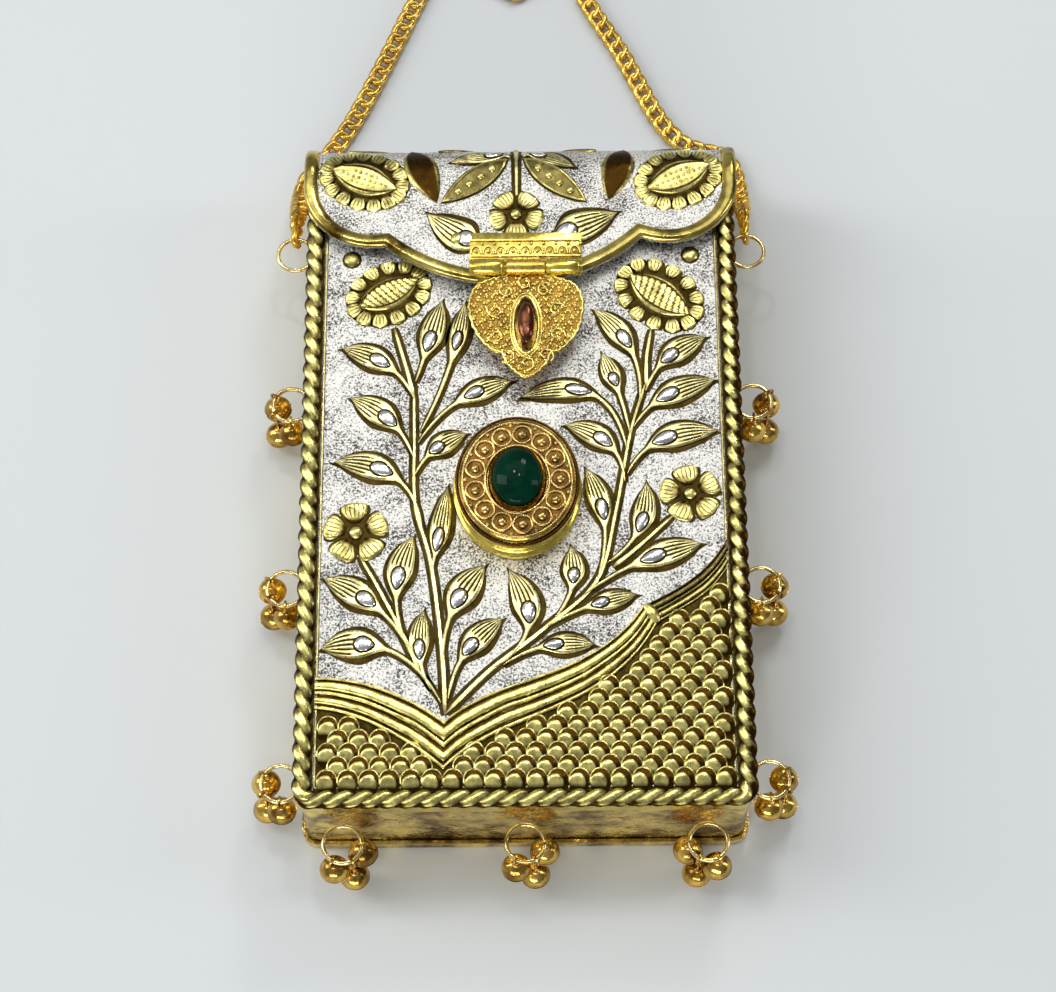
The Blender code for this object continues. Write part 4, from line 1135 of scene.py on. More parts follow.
        # Dark bed under the rosette: patina and painted shadow.
        bed = [centre + Vector((math.cos(a), math.sin(a))) * radius * 0.8
               for a in angles(20)]
        self.plate(bed, ((0.3 * MM, 0.06 * MM),), self.dark)
        for i in range(petals):
            angle = math.radians(turn + 360 * i / petals)
            away = Vector((math.cos(angle), math.sin(angle)))
            self.petal(centre + away * radius * 0.36, centre + away * radius * 1.08, radius * 0.90, 5)
        self.boss(centre, radius * 0.25, 1.15 * MM)

    def boss(self, centre: Vector, radius: float, height: float) -> None:
        """A small gold bead on a dark seat of patina and painted shadow.

        Args:
            centre: its middle.
            radius: its radius.
            height: its height.
        """
        for grow, rise, pile in ((0.35 * MM, 0.1 * MM, self.dark), (0.0, height, self.gold)):
            wide = radius + grow
            obj = Shop.ball((*centre, self.ground), (wide, wide, rise))
            Shop.mark(obj, self.ground, self.ground + height)
            pile.append(obj)

    def shell(self, centre: Vector, half_length: float, half_width: float, tilt: float,
              beads: int = 13, dotted: bool = True) -> None:
        """A pointed oval flower head in a frill of lobes.

        Args:
            centre: its middle.
            half_length: half its length.
            half_width: half its width.
            tilt: its angle in degrees.
            beads: how many lobes ring it.
            dotted: whether dots or slanting cuts fill it.
        """
        turn = Matrix.Rotation(math.radians(tilt), 2)

        def oval(angle: float, more_length: float, more_width: float) -> Vector:
            """A place on an oval this much wider than the head."""
            return centre + turn @ Vector(((half_length + more_length) * math.cos(angle),
                                           (half_width + more_width) * math.sin(angle)))

        # Dark bed round the whole head: patina and painted shadow.
        bed = [oval(a, 2.2 * MM, 3.4 * MM) for a in angles(28)]
        self.plate(bed, ((0.3 * MM, 0.06 * MM),), self.dark)
        for i in range(beads):
            angle = TURN * (i + 0.5) / beads
            away = (turn @ Vector((math.cos(angle), math.sin(angle) * 1.4))).normalized()
            middle = oval(angle, 0.7 * MM, 2.0 * MM)
            self.petal(middle - away * 1.6 * MM, middle + away * 2.7 * MM, 4.0 * MM, 3, 8)
        ends = [centre + turn @ Vector((s * half_length, 0)) for s in (-1, 1)]
        axis = [ends[0].lerp(ends[1], i / 8) for i in range(9)]

        def half(u: float) -> float:
            """Half the width."""
            return half_width * math.sin(math.pi * u) ** 0.75 if 0 < u < 1 else 0.0

        def surface(u: float, s: float) -> float:
            """Height: a rim round a domed floor."""
            return (0.95 * (1 - abs(s) ** 5) ** 0.5 - 0.35 * (1 - min(1.0, abs(s) / 0.75) ** 3)) * MM

        def level(u: float, s: float) -> float:
            """Relief: dark groove inside the rim, and cuts or a plain floor."""
            if abs(s) > 0.96 or 0.66 < abs(s) < 0.76:
                return 0.12
            if not dotted and abs(s) < 0.66 and (u * 11 + s * 0.9) % 1 < 0.34:
                return 0.12
            return 0.9

        # Dark bed under the head: patina with painted shadow, set down and to the right.
        self.swept(axis, lambda u: half(u) + 0.7 * MM, lambda u, s: 0.35 * MM, dull, self.dark, 16, 4,
                   (0.1 * MM, -0.15 * MM))
        self.swept(axis, half, surface, level, self.gold, 44, 24)
        if not dotted:
            return
        for i in range(-4, 5):
            for j in range(-1, 2):
                place = Vector((i * half_length * 0.17, j * half_width * 0.34))
                if abs(i) + abs(j) * 1.5 > 4.2:
                    continue
                seat = centre + turn @ place
                bead = Shop.ball((*seat, self.ground + 0.6 * MM), (0.5 * MM, 0.45 * MM, 0.42 * MM),
                                 segments=8, rings=5)
                Shop.mark(bead, self.ground + 0.3 * MM, self.ground + 1.0 * MM)
                self.gold.append(bead)

    def deliver(self, prefix: str, body: str,
                shape: Callable[[Obj], object] | None = None) -> None:
        """Joins the piles into one piece per finish.

        Args:
            prefix: start of the pieces' names.
            body: the body they ride on.
            shape: what is done to each joined piece, such as a fold.
        """
        # The patina pieces are the dark beds: patina in the chased grooves and painted shadow round the
        # raised parts.
        piles = (("gold", self.gold, self.palette.relief_gold, Slot.GOLD),
                 ("leaves", self.leaves, self.palette.leaf_gold, Slot.GOLD),
                 ("patina", self.dark, self.palette.patina, Slot.GOLD),
                 ("silver", self.silver, self.palette.bright_silver, Slot.SILVER))
        for suffix, pile, finish, slot in piles:
            if not pile:
                continue
            piece = Shop.join(f"{prefix}_{suffix}", pile)
            if shape:
                shape(piece)
            Shop.done(piece, f"{prefix}_{suffix}", finish, body, slot)


@dataclass
class FrontPanel:
    """The chased front: stippled sheet, vines, chevron, scales and rope."""

    palette: Palette
    scale_pitch: float = 5.0 * MM
    scale_row: float = 3.35 * MM
    rope_pitch: float = 4.6 * MM
    chevron_crest: float = 1.25 * MM
    leaves: tuple[Leaf, ...] = (
        Leaf((-20.0, 26.0), (-35.0, 40.5), (-49.3, 40.0), 7.4),
        Leaf((-25.0, 33.5), (-35.5, 50.5), (-49.0, 58.5), 6.6),
        Leaf((-29.0, 43.0), (-31.0, 52.5), (-27.0, 69.5), 6.2),
        Leaf((-22.5, 29.5), (-24.6, 35.0), (-24.3, 50.0), 4.8),
        Leaf((-25.0, 73.0), (-30.5, 84.5), (-47.0, 89.8), 6.6),
        Leaf((-22.6, 60.0), (-21.7, 64.5), (-18.6, 83.0), 4.8),
        Leaf((-26.8, 86.0), (-24.3, 90.5), (-14.0, 97.4), 5.4),
        Leaf((-19.6, 36.0), (-18.0, 48.0), (-9.5, 61.5), 7.0),
        Leaf((-18.3, 27.0), (-15.5, 36.5), (-5.2, 47.5), 6.0),
        Leaf((-8.0, 34.5), (0.8, 44.5), (-3.6, 60.5), 6.4),
        Leaf((-27.2, 91.0), (-30.2, 97.5), (-43.2, 107.5), 6.4),
        Leaf((-27.2, 107.5), (-31.2, 114.0), (-45.7, 121.5), 6.0),
        Leaf((-26.8, 112.0), (-25.0, 118.0), (-20.2, 135.0), 6.0),
        Leaf((-25.5, 98.0), (-17.5, 119.0), (-14.3, 134.5), 4.6),
        Leaf((-26.0, 95.0), (-16.5, 106.0), (-2.5, 112.0), 5.6),
        Leaf((-5.0, 35.6), (3.0, 39.8), (17.0, 40.6), 5.0),
        Leaf((5.0, 45.0), (15.0, 50.3), (27.6, 53.6), 4.6),
        Leaf((14.0, 53.0), (26.0, 61.0), (44.0, 67.0), 6.2),
        Leaf((7.5, 47.5), (11.6, 55.0), (11.6, 66.5), 5.2),
        Leaf((18.0, 57.5), (20.2, 71.5), (15.6, 87.5), 5.4),
        Leaf((20.5, 62.0), (26.8, 68.0), (30.6, 83.5), 5.4),
        Leaf((26.0, 86.0), (30.5, 92.3), (48.8, 97.5), 6.4),
        Leaf((25.4, 84.0), (23.8, 91.0), (10.6, 99.5), 5.8),
        Leaf((26.2, 92.0), (18.5, 107.6), (-0.6, 107.2), 5.2),
        Leaf((29.6, 106.0), (28.4, 119.0), (18.4, 132.0), 5.6),
        Leaf((27.0, 97.0), (24.3, 109.0), (20.3, 119.5), 4.6),
        Leaf((31.2, 109.0), (34.0, 114.8), (46.8, 124.0), 6.0),
        Leaf((28.0, 99.0), (32.0, 104.3), (48.8, 111.8), 6.2),
    )
    stems: tuple[tuple[Point, ...], ...] = (
        ((-19.0, 23.0), (-19.7, 38.0), (-22.6, 62.0), (-26.6, 78.0), (-27.0, 96.0), (-27.2, 110.0)),
        ((-18.8, 23.5), (-8.0, 34.5), (5.0, 45.0), (18.0, 57.5), (23.0, 76.0), (27.0, 97.0), (31.4, 112.0)),
        ((-25.0, 34.0), (-29.5, 44.0), (-35.5, 56.0), (-40.2, 64.5)),
        ((22.0, 61.0), (28.0, 66.0), (37.5, 75.0)),
        ((-27.2, 108.0), (-29.5, 117.0), (-32.4, 127.5)),
        ((31.4, 110.0), (31.6, 118.0), (33.0, 126.5)),
    )
    chevron: tuple = (
        (((-50.3, 32.7), (-40.0, 33.0), (-30.0, 29.5), (-19.2, 21.5)),
         ((-50.3, 24.7), (-40.0, 24.0), (-29.0, 17.5), (-19.4, 9.1))),
        (((-19.2, 21.5), (-6.0, 34.0), (16.0, 31.0), (29.0, 50.5)),
         ((-19.4, 9.1), (-6.0, 24.0), (20.0, 22.0), (32.3, 46.0))),
        (((29.0, 50.5), (35.0, 54.0), (44.0, 57.0), (50.3, 68.5)),
         ((32.3, 46.0), (38.0, 50.0), (45.0, 52.0), (50.3, 61.0))),
    )
    arch_ends: tuple = (0.0, 0.30, 0.78, 1.0)
    bands: tuple = ((0.0, 0.08), (0.14, 0.40), (0.43, 0.55), (0.63, 0.84), (0.90, 1.0))
    cusp_ridge: tuple[Point, ...] = ((32.6, 46.2), (31.4, 48.4), (29.7, 50.9))
    flowers: tuple = (((-41.2, 70.8), 7.6, 22.0), ((41.6, 80.6), 7.2, 100.0))
    shells: tuple = (((-34.0, 137.3), 8.4, 4.4, 28.0), ((35.3, 136.3), 9.4, 4.9, -38.0))
    beads: tuple[Point, ...] = ((-43.5, 147.3), (43.6, 148.0))

    def build(self) -> None:
        """Makes every part of the front."""
        self.build_sheet()
        self.build_vines()
        self.build_chevron()
        self.build_scales()
        self.build_rope()

    def rim_outline(self, inset: float, top: float, steps: int = 6) -> list[Vector]:
        """The panel's outline with round bottom corners, anticlockwise from its top right.

        Args:
            inset: how far inside the bag's edge.
            top: Y of its top.
            steps: steps of each corner.

        Returns:
            Its points.
        """
        x = BAG.half_width - inset
        low = -BAG.half_height + inset
        radius = max(BAG.corner - inset, 0.5 * MM)
        points = [Vector((x, top)), Vector((-x, top))]
        for cx, first in ((-x + radius, math.pi), (x - radius, 1.5 * math.pi)):
            for i in range(steps + 1):
                a = first + QUARTER * i / steps
                points.append(Vector((cx + radius * math.cos(a), low + radius + radius * math.sin(a))))
        return points

    def build_sheet(self) -> None:
        """The sheet with its turned-down edge: silver on the face, gold outside the frame line."""
        top = BAG.half_height - BAG.top_cut
        sheet = Shop.disc(self.rim_outline(0, top), BAG.ground - BAG.flange)
        Shop.rise(sheet, ((0.0, 0.0),))
        Shop.extrude(sheet, BAG.flange)
        for material in (self.palette.silver, self.palette.gold):
            sheet.data.materials.append(material)
        inner = Shop.disc(self.rim_outline(0.4 * MM, top + 1 * MM), BAG.ground - BAG.flange - 1 * MM)
        Shop.extrude(inner, BAG.flange + 0.2 * MM)
        Shop.outward(inner)
        Shop.outward(sheet)
        Shop.cut(sheet, inner)
        for face in sheet.data.polygons:
            face.material_index = 0 if face.normal.z > 0.9 else 1
        Shop.done(sheet, "front_sheet", self.palette.silver, "body", Slot.SILVER, ("front_panel",), 30.0)
        line = self.rim_outline(5.0 * MM, top - 1 * MM)
        path = [(*p, BAG.ground) for p in line[1:] + line[:1]]
        strip = Shop.tube(path, 0.38 * MM, flat=0.7, base=BAG.ground)
        Shop.mark(strip, BAG.ground - 0.3 * MM, BAG.ground + 0.9 * MM)
        Shop.done(strip, "frame_line", self.palette.leaf_gold, "body", Slot.GOLD)
        # A dark bed under the rope: patina and painted shadow round its strands.
        line = self.rim_outline(2.35 * MM, top)
        path = [(*p, BAG.ground) for p in line[1:] + line[:1]]
        bed = Shop.tube(path, 2.2 * MM, flat=0.045, base=BAG.ground)
        Shop.done(bed, "rope_bed", self.palette.patina, "body", Slot.GOLD)

    def build_vines(self) -> None:
        """Stems, leaves, flowers and buds."""
        chaser = Chaser(self.palette, BAG.ground, BAG.at)
        for stem in self.stems:
            points = through([BAG.at(p) for p in stem], 10)
            last = len(points) - 1
            taper = [min(1.0, 0.35 + 0.3 * min(i, last - i)) for i in range(last + 1)]
            widths = [(1.75 - 0.75 * i / last) * taper[i] * MM for i in range(last + 1)]
            chaser.stroke(points, widths, 0.75 * MM)
        for leaf in self.leaves:
            chaser.leaf(leaf)
        for place, radius, turn in self.flowers:
            chaser.flower(BAG.at(place), radius * MM, turn)
        for place, length, width, tilt in self.shells:
            chaser.shell(BAG.at(place), length * MM, width * MM, tilt, dotted=False)
        for place in self.beads:
            chaser.boss(BAG.at(place), 2.2 * MM, 0.8 * MM)
        chaser.deliver("vine", "body")

    def chevron_at(self, share: float, across: float) -> Vector:
        """A flat place in the chevron.

        Args:
            share: 0 at its left end, 1 at its right end.
            across: 0 at its upper edge, 1 at its lower edge.

        Returns:
            The place.
        """
        stops = self.arch_ends
        arch = min(2, max(i for i in range(3) if share >= stops[i] - 1e-9))
        t = (share - stops[arch]) / (stops[arch + 1] - stops[arch])
        upper, lower = self.chevron[arch]
        return BAG.at(bezier(upper, t)).lerp(BAG.at(bezier(lower, t)), across)

    def chevron_height(self, across: float) -> float:
        """Height of the fluting over the ground.

        Args:
            across: 0 at its upper edge, 1 at its lower edge.

        Returns:
            The height.
        """
        for first, last in self.bands:
            if first < across < last:
                t = (across - first) / (last - first) * 2 - 1
                share = (0.2 + 0.8 * (1 - t ** 4) ** 0.5) * min(1.0, 0.5 + (last - first) * 2.0)
                return self.chevron_crest * share
        return self.chevron_crest * 0.08

    def build_chevron(self) -> None:
        """The fluted band that parts the vines from the scales."""
        right_arch = self.arch_ends[2] + 0.005

        def place(u: float, w: float) -> tuple[float, float, float]:
            """A point of the fluting for two shares."""
            flat = self.chevron_at(u, w)
            sway = 0.012 * math.sin(u * 31) + 0.008 * math.sin(u * 57 + 1)
            lift = self.chevron_height(min(1.0, max(0.0, w + sway * math.sin(math.pi * w))))
            return (flat.x, flat.y, BAG.ground + lift * (0.8 if u > right_arch else 1.0))

        def level(u: float, w: float) -> float:
            """Relief: the fluting's height, with painted shade darkening the right-hand arch, most in its
            upper half.
            """
            share = self.chevron_height(w) / self.chevron_crest
            # Painted shade: the right-hand arch is darkened, its upper half most.
            painted_shade = 0.30 if w < 0.5 else 0.62
            return min(1.0, share * 1.3) * (painted_shade if u > right_arch else 1.0)

        ridge = through([Vector((*BAG.at(p), BAG.ground + 0.5 * MM)) for p in self.cusp_ridge], 6)
        last = len(ridge) - 1
        radii = [(1.0 + 0.7 * math.sin(math.pi * i / last)) * MM for i in range(last + 1)]
        fold = Shop.tube(ridge, radii, sides=3, flat=0.75, base=BAG.ground)
        Shop.mark(fold, BAG.ground + 0.3 * MM, BAG.ground + 1.7 * MM)
        band = Shop.join("chevron", [Shop.grid(150, 74, place, level), fold])
        Shop.done(band, "chevron", self.palette.relief_gold, "body", Slot.GOLD, smooth=70.0)

    def chevron_floor(self, x: float) -> float:
        """Y of the chevron's lower edge.

        Args:
            x: the place across the bag.

        Returns:
            The edge's Y there.
        """
        line = [self.chevron_at(i / 60, 0.97) for i in range(61)]
        for a, b in zip(line, line[1:]):
            if a.x <= x <= b.x:
                return a.y + (b.y - a.y) * (x - a.x) / max(b.x - a.x, 1e-9)
        return min(line[0].y, line[-1].y) if x < 0 else line[-1].y

    def build_scales(self) -> None:
        """Rows of rounded scales, each row tucked behind the one below it."""
        half, tall = self.scale_pitch * 0.57, self.scale_row * 1.02
        crest = 1.1 * MM
        leans = (0.04, 0.20, 0.32)

        def span(u: float, w: float) -> tuple[float, float]:
            """Flat place in the scale."""
            y = tall * (1.9 * w - 0.9)
            if y >= tall:
                return 0.0, tall
            reach = half * (1 - max(0.0, y / tall) ** 2) ** 0.5 * (1 + 0.45 * min(0.0, y / tall))
            return (2 * u - 1) * reach, y

        def place(u: float, w: float) -> tuple[float, float, float]:
            """A point of the dome, which leans forward over its arc."""
            x, y = span(u, w)
            edge = min(1.0, (x / half) ** 2 + max(0.0, y / tall) ** 2)
            rise = min(1.0, max(0.0, w / 0.62))
            lift = (1 - edge ** 4) ** 0.5 * (0.15 + 0.85 * rise * rise * (3 - 2 * rise))
            return (x, y, crest * (1 - 0.22 * hollow(x, y)) * lift)

        def hollow(x: float, y: float) -> float:
            """Depth of the comma-shaped dish inside the arc, at its upper right: 0 to 1."""
            a, b = x / half, y / tall
            inside = 1 - (a / 0.88) ** 2 - (b / 0.86) ** 2
            beyond = ((a + lean_in) / 0.74) ** 2 + ((b + 0.34) / 0.80) ** 2 - 0.80
            return min(1.0, max(0.0, inside * 7)) * min(1.0, max(0.0, beyond * 3))

        def level(u: float, w: float) -> float:
            """Relief: bright on the arc, with painted shade in the dish and where the next row tucks in."""
            if not 0.03 < u < 0.97 or w > 0.98:
                return 0.1
            return min(1.0, max(0.0, (w - 0.16) / 0.22)) * (1 - 0.95 * hollow(*span(u, w)))

        models = []
        for lean_in in leans:
            models.append(Shop.grid(18, 20, place, level))
            Shop.weld(models[-1])
        scales = []
        limit = BAG.half_width - BAG.rope_width - 0.9 * MM
        for row in range(20):
            y = -BAG.half_height + 6.4 * MM + row * self.scale_row
            x = -limit + half + (self.scale_pitch / 2 if row % 2 else 0.0)
            while x <= limit - half * 0.6:
                if y + tall * 0.45 < self.chevron_floor(x):
                    turn = Matrix.Rotation(0.10 * math.sin(x * 900 + row * 2.1), 4, "Z")
                    # Scales further right and higher get the models with the bigger dark dish: painted shade
                    # that grows to the right.
                    up = (y + BAG.half_height) / (70 * MM)
                    deep = 1.5 + x / (40 * MM) + up + 0.6 * math.sin(x * 1700 + row * 5)
                    model = models[min(len(models) - 1, max(0, int(deep)))]
                    scales.append(Shop.copy(model, Matrix.Translation((x, y, BAG.ground)) @ turn))
                x += self.scale_pitch
        for model in models:
            bpy.data.objects.remove(model, do_unlink=True)
        # A dark bed behind the scales: painted shade in the gaps between them, with patina.
        bed_line = [self.chevron_at(i / 40, 0.9) for i in range(41)]
        low = -BAG.half_height + 4.4 * MM
        ends = [Vector((bed_line[i].x, low)) for i in (0, -1)]
        bed = Shop.disc([*ends, *reversed(bed_line)], BAG.ground + 0.05 * MM)
        Shop.mark(bed, BAG.ground, BAG.ground + 1 * MM)
        Shop.done(bed, "scale_bed", self.palette.patina, "body", Slot.GOLD)
        piece = Shop.join("scales", scales)
        Shop.done(piece, "scales", self.palette.relief_gold, "body", Slot.GOLD, smooth=80.0)

    def build_rope(self) -> None:
        """Two flattened strands twisted round each other along the edge."""
        inset = BAG.rope_width / 2 - 0.15 * MM
        line = self.rim_outline(inset, BAG.half_height - 9 * MM, 8)
        line = line[1:] + line[:1]
        dense: list[Vector] = []
        for a, b in zip(line, line[1:]):
            count = max(1, round((b - a).length / (0.5 * MM)))
            dense += [a.lerp(b, i / count) for i in range(count)]
        dense.append(line[-1])
        reach = 0.0
        strands: list[list] = [[], []]
        for i, point in enumerate(dense):
            if i:
                reach += (point - dense[i - 1]).length
            along = (dense[min(i + 1, len(dense) - 1)] - dense[max(i - 1, 0)]).normalized()
            side = Vector((along.y, -along.x))
            for k in range(2):
                phase = math.pi * (reach / self.rope_pitch + k)
                flat = point + side * (0.95 * MM * math.cos(phase))
                strands[k].append((*flat, BAG.rope_base + 0.55 * MM + 0.75 * MM * math.sin(phase)))
        parts = []
        for strand in strands:
            tube = Shop.tube(strand, 1.42 * MM, sides=3)
            for vertex in tube.data.vertices:
                vertex.co.z = BAG.rope_base + max(0.0, (vertex.co.z - BAG.rope_base)) * 0.6
            Shop.mark(tube, BAG.rope_base + 0.62 * MM, BAG.rope_base + 1.62 * MM)
            # Painted shade: along the right-hand edge the rope's outer side is darkened, together with
            # patina.
            relief = tube.data.attributes["relief"].data
            for vertex in tube.data.vertices:
                if vertex.co.x > BAG.half_width - 1.5 * MM:
                    relief[vertex.index].value *= 0.3
            parts.append(tube)
        rope = Shop.join("rope", parts)
        Shop.done(rope, "rope", self.palette.relief_gold, "body", Slot.GOLD, ("rope_border",), 60.0)


@dataclass
class Flap:
    """The folded flap with its rim and its own chased ornament."""

    palette: Palette
    rim_width: float = 3.8 * MM
    rim_height: float = 1.3 * MM
    lobe_radius: float = 18 * MM
    lobe_v: float = 169 * MM
    middle_radius: float = 50 * MM
    cusps: tuple[Point, Point] = ((-35.0, 149.4), (31.0, 151.4))
    shells: tuple = (((-40.5, 31.0), 20.0), ((41.0, 31.0), -24.0))
    darts: tuple = (
        ((-28.4, 41.0), (-21.6, 24.0), 8.6), ((27.2, 41.0), (22.8, 24.5), 8.6),
        ((-10.5, 50.5), (-21.5, 41.5), 5.2), ((9.5, 50.5), (20.0, 41.5), 5.2),
        ((-33.0, 49.0), (-45.0, 45.0), 5.0), ((33.0, 49.0), (46.0, 45.0), 5.0),
    )
    beaded: tuple = (((-3.2, 37.0), (-20.4, 24.0), 6.6), ((0.8, 37.2), (17.0, 24.0), 6.6))
    leaves: tuple[Leaf, ...] = (
        Leaf((-2.6, 37.4), (-4.4, 38.6), (-18.0, 36.0), 4.6),
        Leaf((0.6, 37.6), (2.4, 39.0), (14.0, 34.0), 4.6),
        Leaf((-8.6, 12.5), (-11.0, 12.0), (-24.0, 20.5), 8.2),
        Leaf((7.2, 14.0), (9.5, 14.5), (25.0, 20.5), 8.2),
    )
    stem: tuple[Point, ...] = ((-1.2, 46.0), (-1.0, 36.0), (-1.0, 26.0))

    def build(self) -> None:
        """Makes the sheet, the rim and the ornament."""
        edge = [Vector((x, FLAP.reach(y))) for x, y in self.scallop()]
        self.build_sheet(edge)
        self.build_rim(edge)
        self.build_ornament()

    @staticmethod
    def centre_of(start: Vector, end: Vector, radius: float) -> Vector:
        """Centre of the circle through two points, on the root's side.

        Args:
            start: one point.
            end: the other.
            radius: the circle's radius.

        Returns:
            The centre.
        """
        middle = (start + end) / 2
        half = (end - start).length / 2
        away = Vector((-(end - start).y, (end - start).x)).normalized()
        return middle + away * math.sqrt(radius * radius - half * half)

    def arc(self, start: Vector, end: Vector, radius: float, steps: int) -> list[Vector]:
        """Points on the arc between two points, through its underside.

        Args:
            start: the arc's first point.
            end: its last point.
            radius: its radius.
            steps: how many steps it has.

        Returns:
            The points.
        """
        centre = self.centre_of(start, end, radius)
        first = math.atan2(start.y - centre.y, start.x - centre.x) % TURN
        last = math.atan2(end.y - centre.y, end.x - centre.x) % TURN
        if last < first:
            last += TURN
        radius = (start - centre).length
        stops = [first + (last - first) * i / steps for i in range(steps + 1)]
        return [centre + Vector((math.cos(a), math.sin(a))) * radius for a in stops]

    def scallop(self) -> list[Vector]:
        """The free edge on the front from left to right, as (x, Y).

        Returns:
            Its points.
        """
        half = FLAP.width / 2
        level = self.lobe_v - BAG.half_height
        left_end, right_end = Vector((-half, level)), Vector((half, level))
        left_cusp, right_cusp = (BAG.at(p) for p in self.cusps)
        left = self.arc(left_end, left_cusp, self.lobe_radius, 14)
        middle = self.arc(left_cusp, right_cusp, self.middle_radius, 28)
        right = self.arc(right_cusp, right_end, self.lobe_radius, 14)
        return left + middle[1:-1] + right

    def build_sheet(self, edge: list[Vector]) -> None:
        """The flap's sheet, folded over the top of the bag.

        Args:
            edge: the free edge's points on the flat sheet.
        """
        half = FLAP.width / 2
        outline = [Vector((half, 0.0)), Vector((-half, 0.0)), *edge]
        sheet = Shop.disc(list(reversed(outline)), 0.0)
        Shop.extrude(sheet, FLAP.sheet)
        FLAP.bend(sheet)
        Shop.done(sheet, "flap_sheet", self.palette.silver, "flap", Slot.SILVER, ("flap",), 30.0)

    def build_rim(self, edge: list[Vector]) -> None:
        """The plain convex rim, swept along the edge and up both sides.

        Args:
            edge: the free edge's points on the flat sheet.
        """
        half = FLAP.width / 2
        root, steps, across_steps = 1.6 * MM, 40, 10
        run = FLAP.reach(self.lobe_v - BAG.half_height) - root
        sides = [root + run * i / steps for i in range(steps)]
        path = [Vector((-half, r)) for r in sides] + edge + [Vector((half, r)) for r in reversed(sides)]
        section = [(t, math.sin(math.pi * t) ** 0.4 * (1.0 - 0.45 * t))
                   for t in (i / across_steps for i in range(across_steps + 1))]

        def place(u: float, w: float) -> Vector:
            """A point of the rim for shares along and across it."""
            i = round(u * (len(path) - 1))
            before = (path[i] - path[i - 1]).normalized() if i else (path[1] - path[0]).normalized()
            after = (path[i + 1] - path[i]).normalized() if i + 1 < len(path) else before
            n1, n2 = Vector((before.y, -before.x)), Vector((after.y, -after.x))
            normal = (n1 + n2).normalized()
            normal = normal / max(0.55, normal.dot(n1))
            across, up = section[round(w * across_steps)]
            flat = path[i] + normal * (self.rim_width * across - 0.15 * MM)
            share = min(1.0, max(0.0, (path[i].y - FLAP.bend_start) / (10 * MM)))
            height = self.rim_height * (0.2 + 0.8 * share * share * (3 - 2 * share))
            return FLAP.fold((flat.x, flat.y, FLAP.sheet + 0.05 * MM + height * up))

        rim = Shop.grid(len(path) - 1, across_steps, place)
        Shop.modify(rim, "SOLIDIFY", thickness=0.3 * MM, offset=-1.0)
        Shop.outward(rim)
        nodes = ("flap_rim_left", "flap_rim_right")
        Shop.done(rim, "flap_rim", self.palette.rim, "flap", Slot.GOLD, nodes, 60.0)

    def build_ornament(self) -> None:
        """Flower heads, leaves and a rosette, chased flat and folded with the sheet."""
        chaser = Chaser(self.palette, FLAP.sheet, lambda p: Vector((p[0] * MM, FLAP.up(p[1]))))
        for place, tilt in self.shells:
            chaser.shell(chaser.place(place), 8.8 * MM, 4.6 * MM, tilt, 15)
        for base, tip, width in self.darts:
            self.dart(chaser, base, tip, width)
        for base, tip, width in self.beaded:
            self.beaded_leaf(chaser, base, tip, width)
        for leaf in self.leaves:
            chaser.leaf(leaf)
        chaser.stroke([chaser.place(p) for p in self.stem], [1.6 * MM, 1.3 * MM, 1.0 * MM], 0.7 * MM)
        chaser.flower(chaser.place((-1.2, 20.4)), 6.6 * MM, 18.0)
        chaser.boss(chaser.place((-16.4, 13.2)), 1.9 * MM, 1.2 * MM)
        chaser.deliver("flap_ornament", "flap", FLAP.bend)

    @staticmethod
    def dart(chaser: Chaser, base: Point, tip: Point, width: float) -> None:
        """A smooth dark petal with a gold rim.

        Args:
            chaser: takes its parts.
            base: its root in mm.
            tip: its point in mm.
            width: its greatest width in mm.
        """
        a, b = chaser.place(base), chaser.place(tip)
        axis = [a.lerp(b, i / 8) for i in range(9)]

        def half(u: float) -> float:
            """Half the width, fullest near the base."""
            return width * MM / 2 * math.sin(math.pi * min(1.0, u) ** 0.75) ** 0.8 if 0 < u < 1 else 0.0

        chaser.swept(axis, half, lambda u, s: 0.6 * MM * (1 - abs(s) ** 4) ** 0.5,
                     lambda u, s: 0.5 if abs(s) > 0.8 else 0.16, chaser.gold, 20, 12)

    @staticmethod
    def beaded_leaf(chaser: Chaser, base: Point, tip: Point, width: float) -> None:
        """A rimmed leaf with a row of beads along its middle.

        Args:
            chaser: takes its parts.
            base: its root in mm.
            tip: its point in mm.
            width: its greatest width in mm.
        """
        a, b = chaser.place(base), chaser.place(tip)
        # Dark bed round the leaf: patina and painted shadow.
        chaser.plate(chaser.outline(a, b, width * MM, 0.4 * MM), ((0.3 * MM, 0.06 * MM),), chaser.dark)
        steps = ((0.1 * MM, 0.6 * MM), (0.35 * MM, 0.1 * MM), (0.3 * MM, -0.4 * MM))
        chaser.plate(chaser.outline(a, b, width * MM), steps, chaser.gold)
        for i in range(4):
            place = a.lerp(b, 0.24 + 0.17 * i)
            bead = Shop.ball((*place, chaser.ground + 0.3 * MM), (1.05 * MM, 1.05 * MM, 0.7 * MM),
                             segments=10, rings=6)
            Shop.mark(bead, chaser.ground, chaser.ground + 0.8 * MM)
            chaser.gold.append(bead)


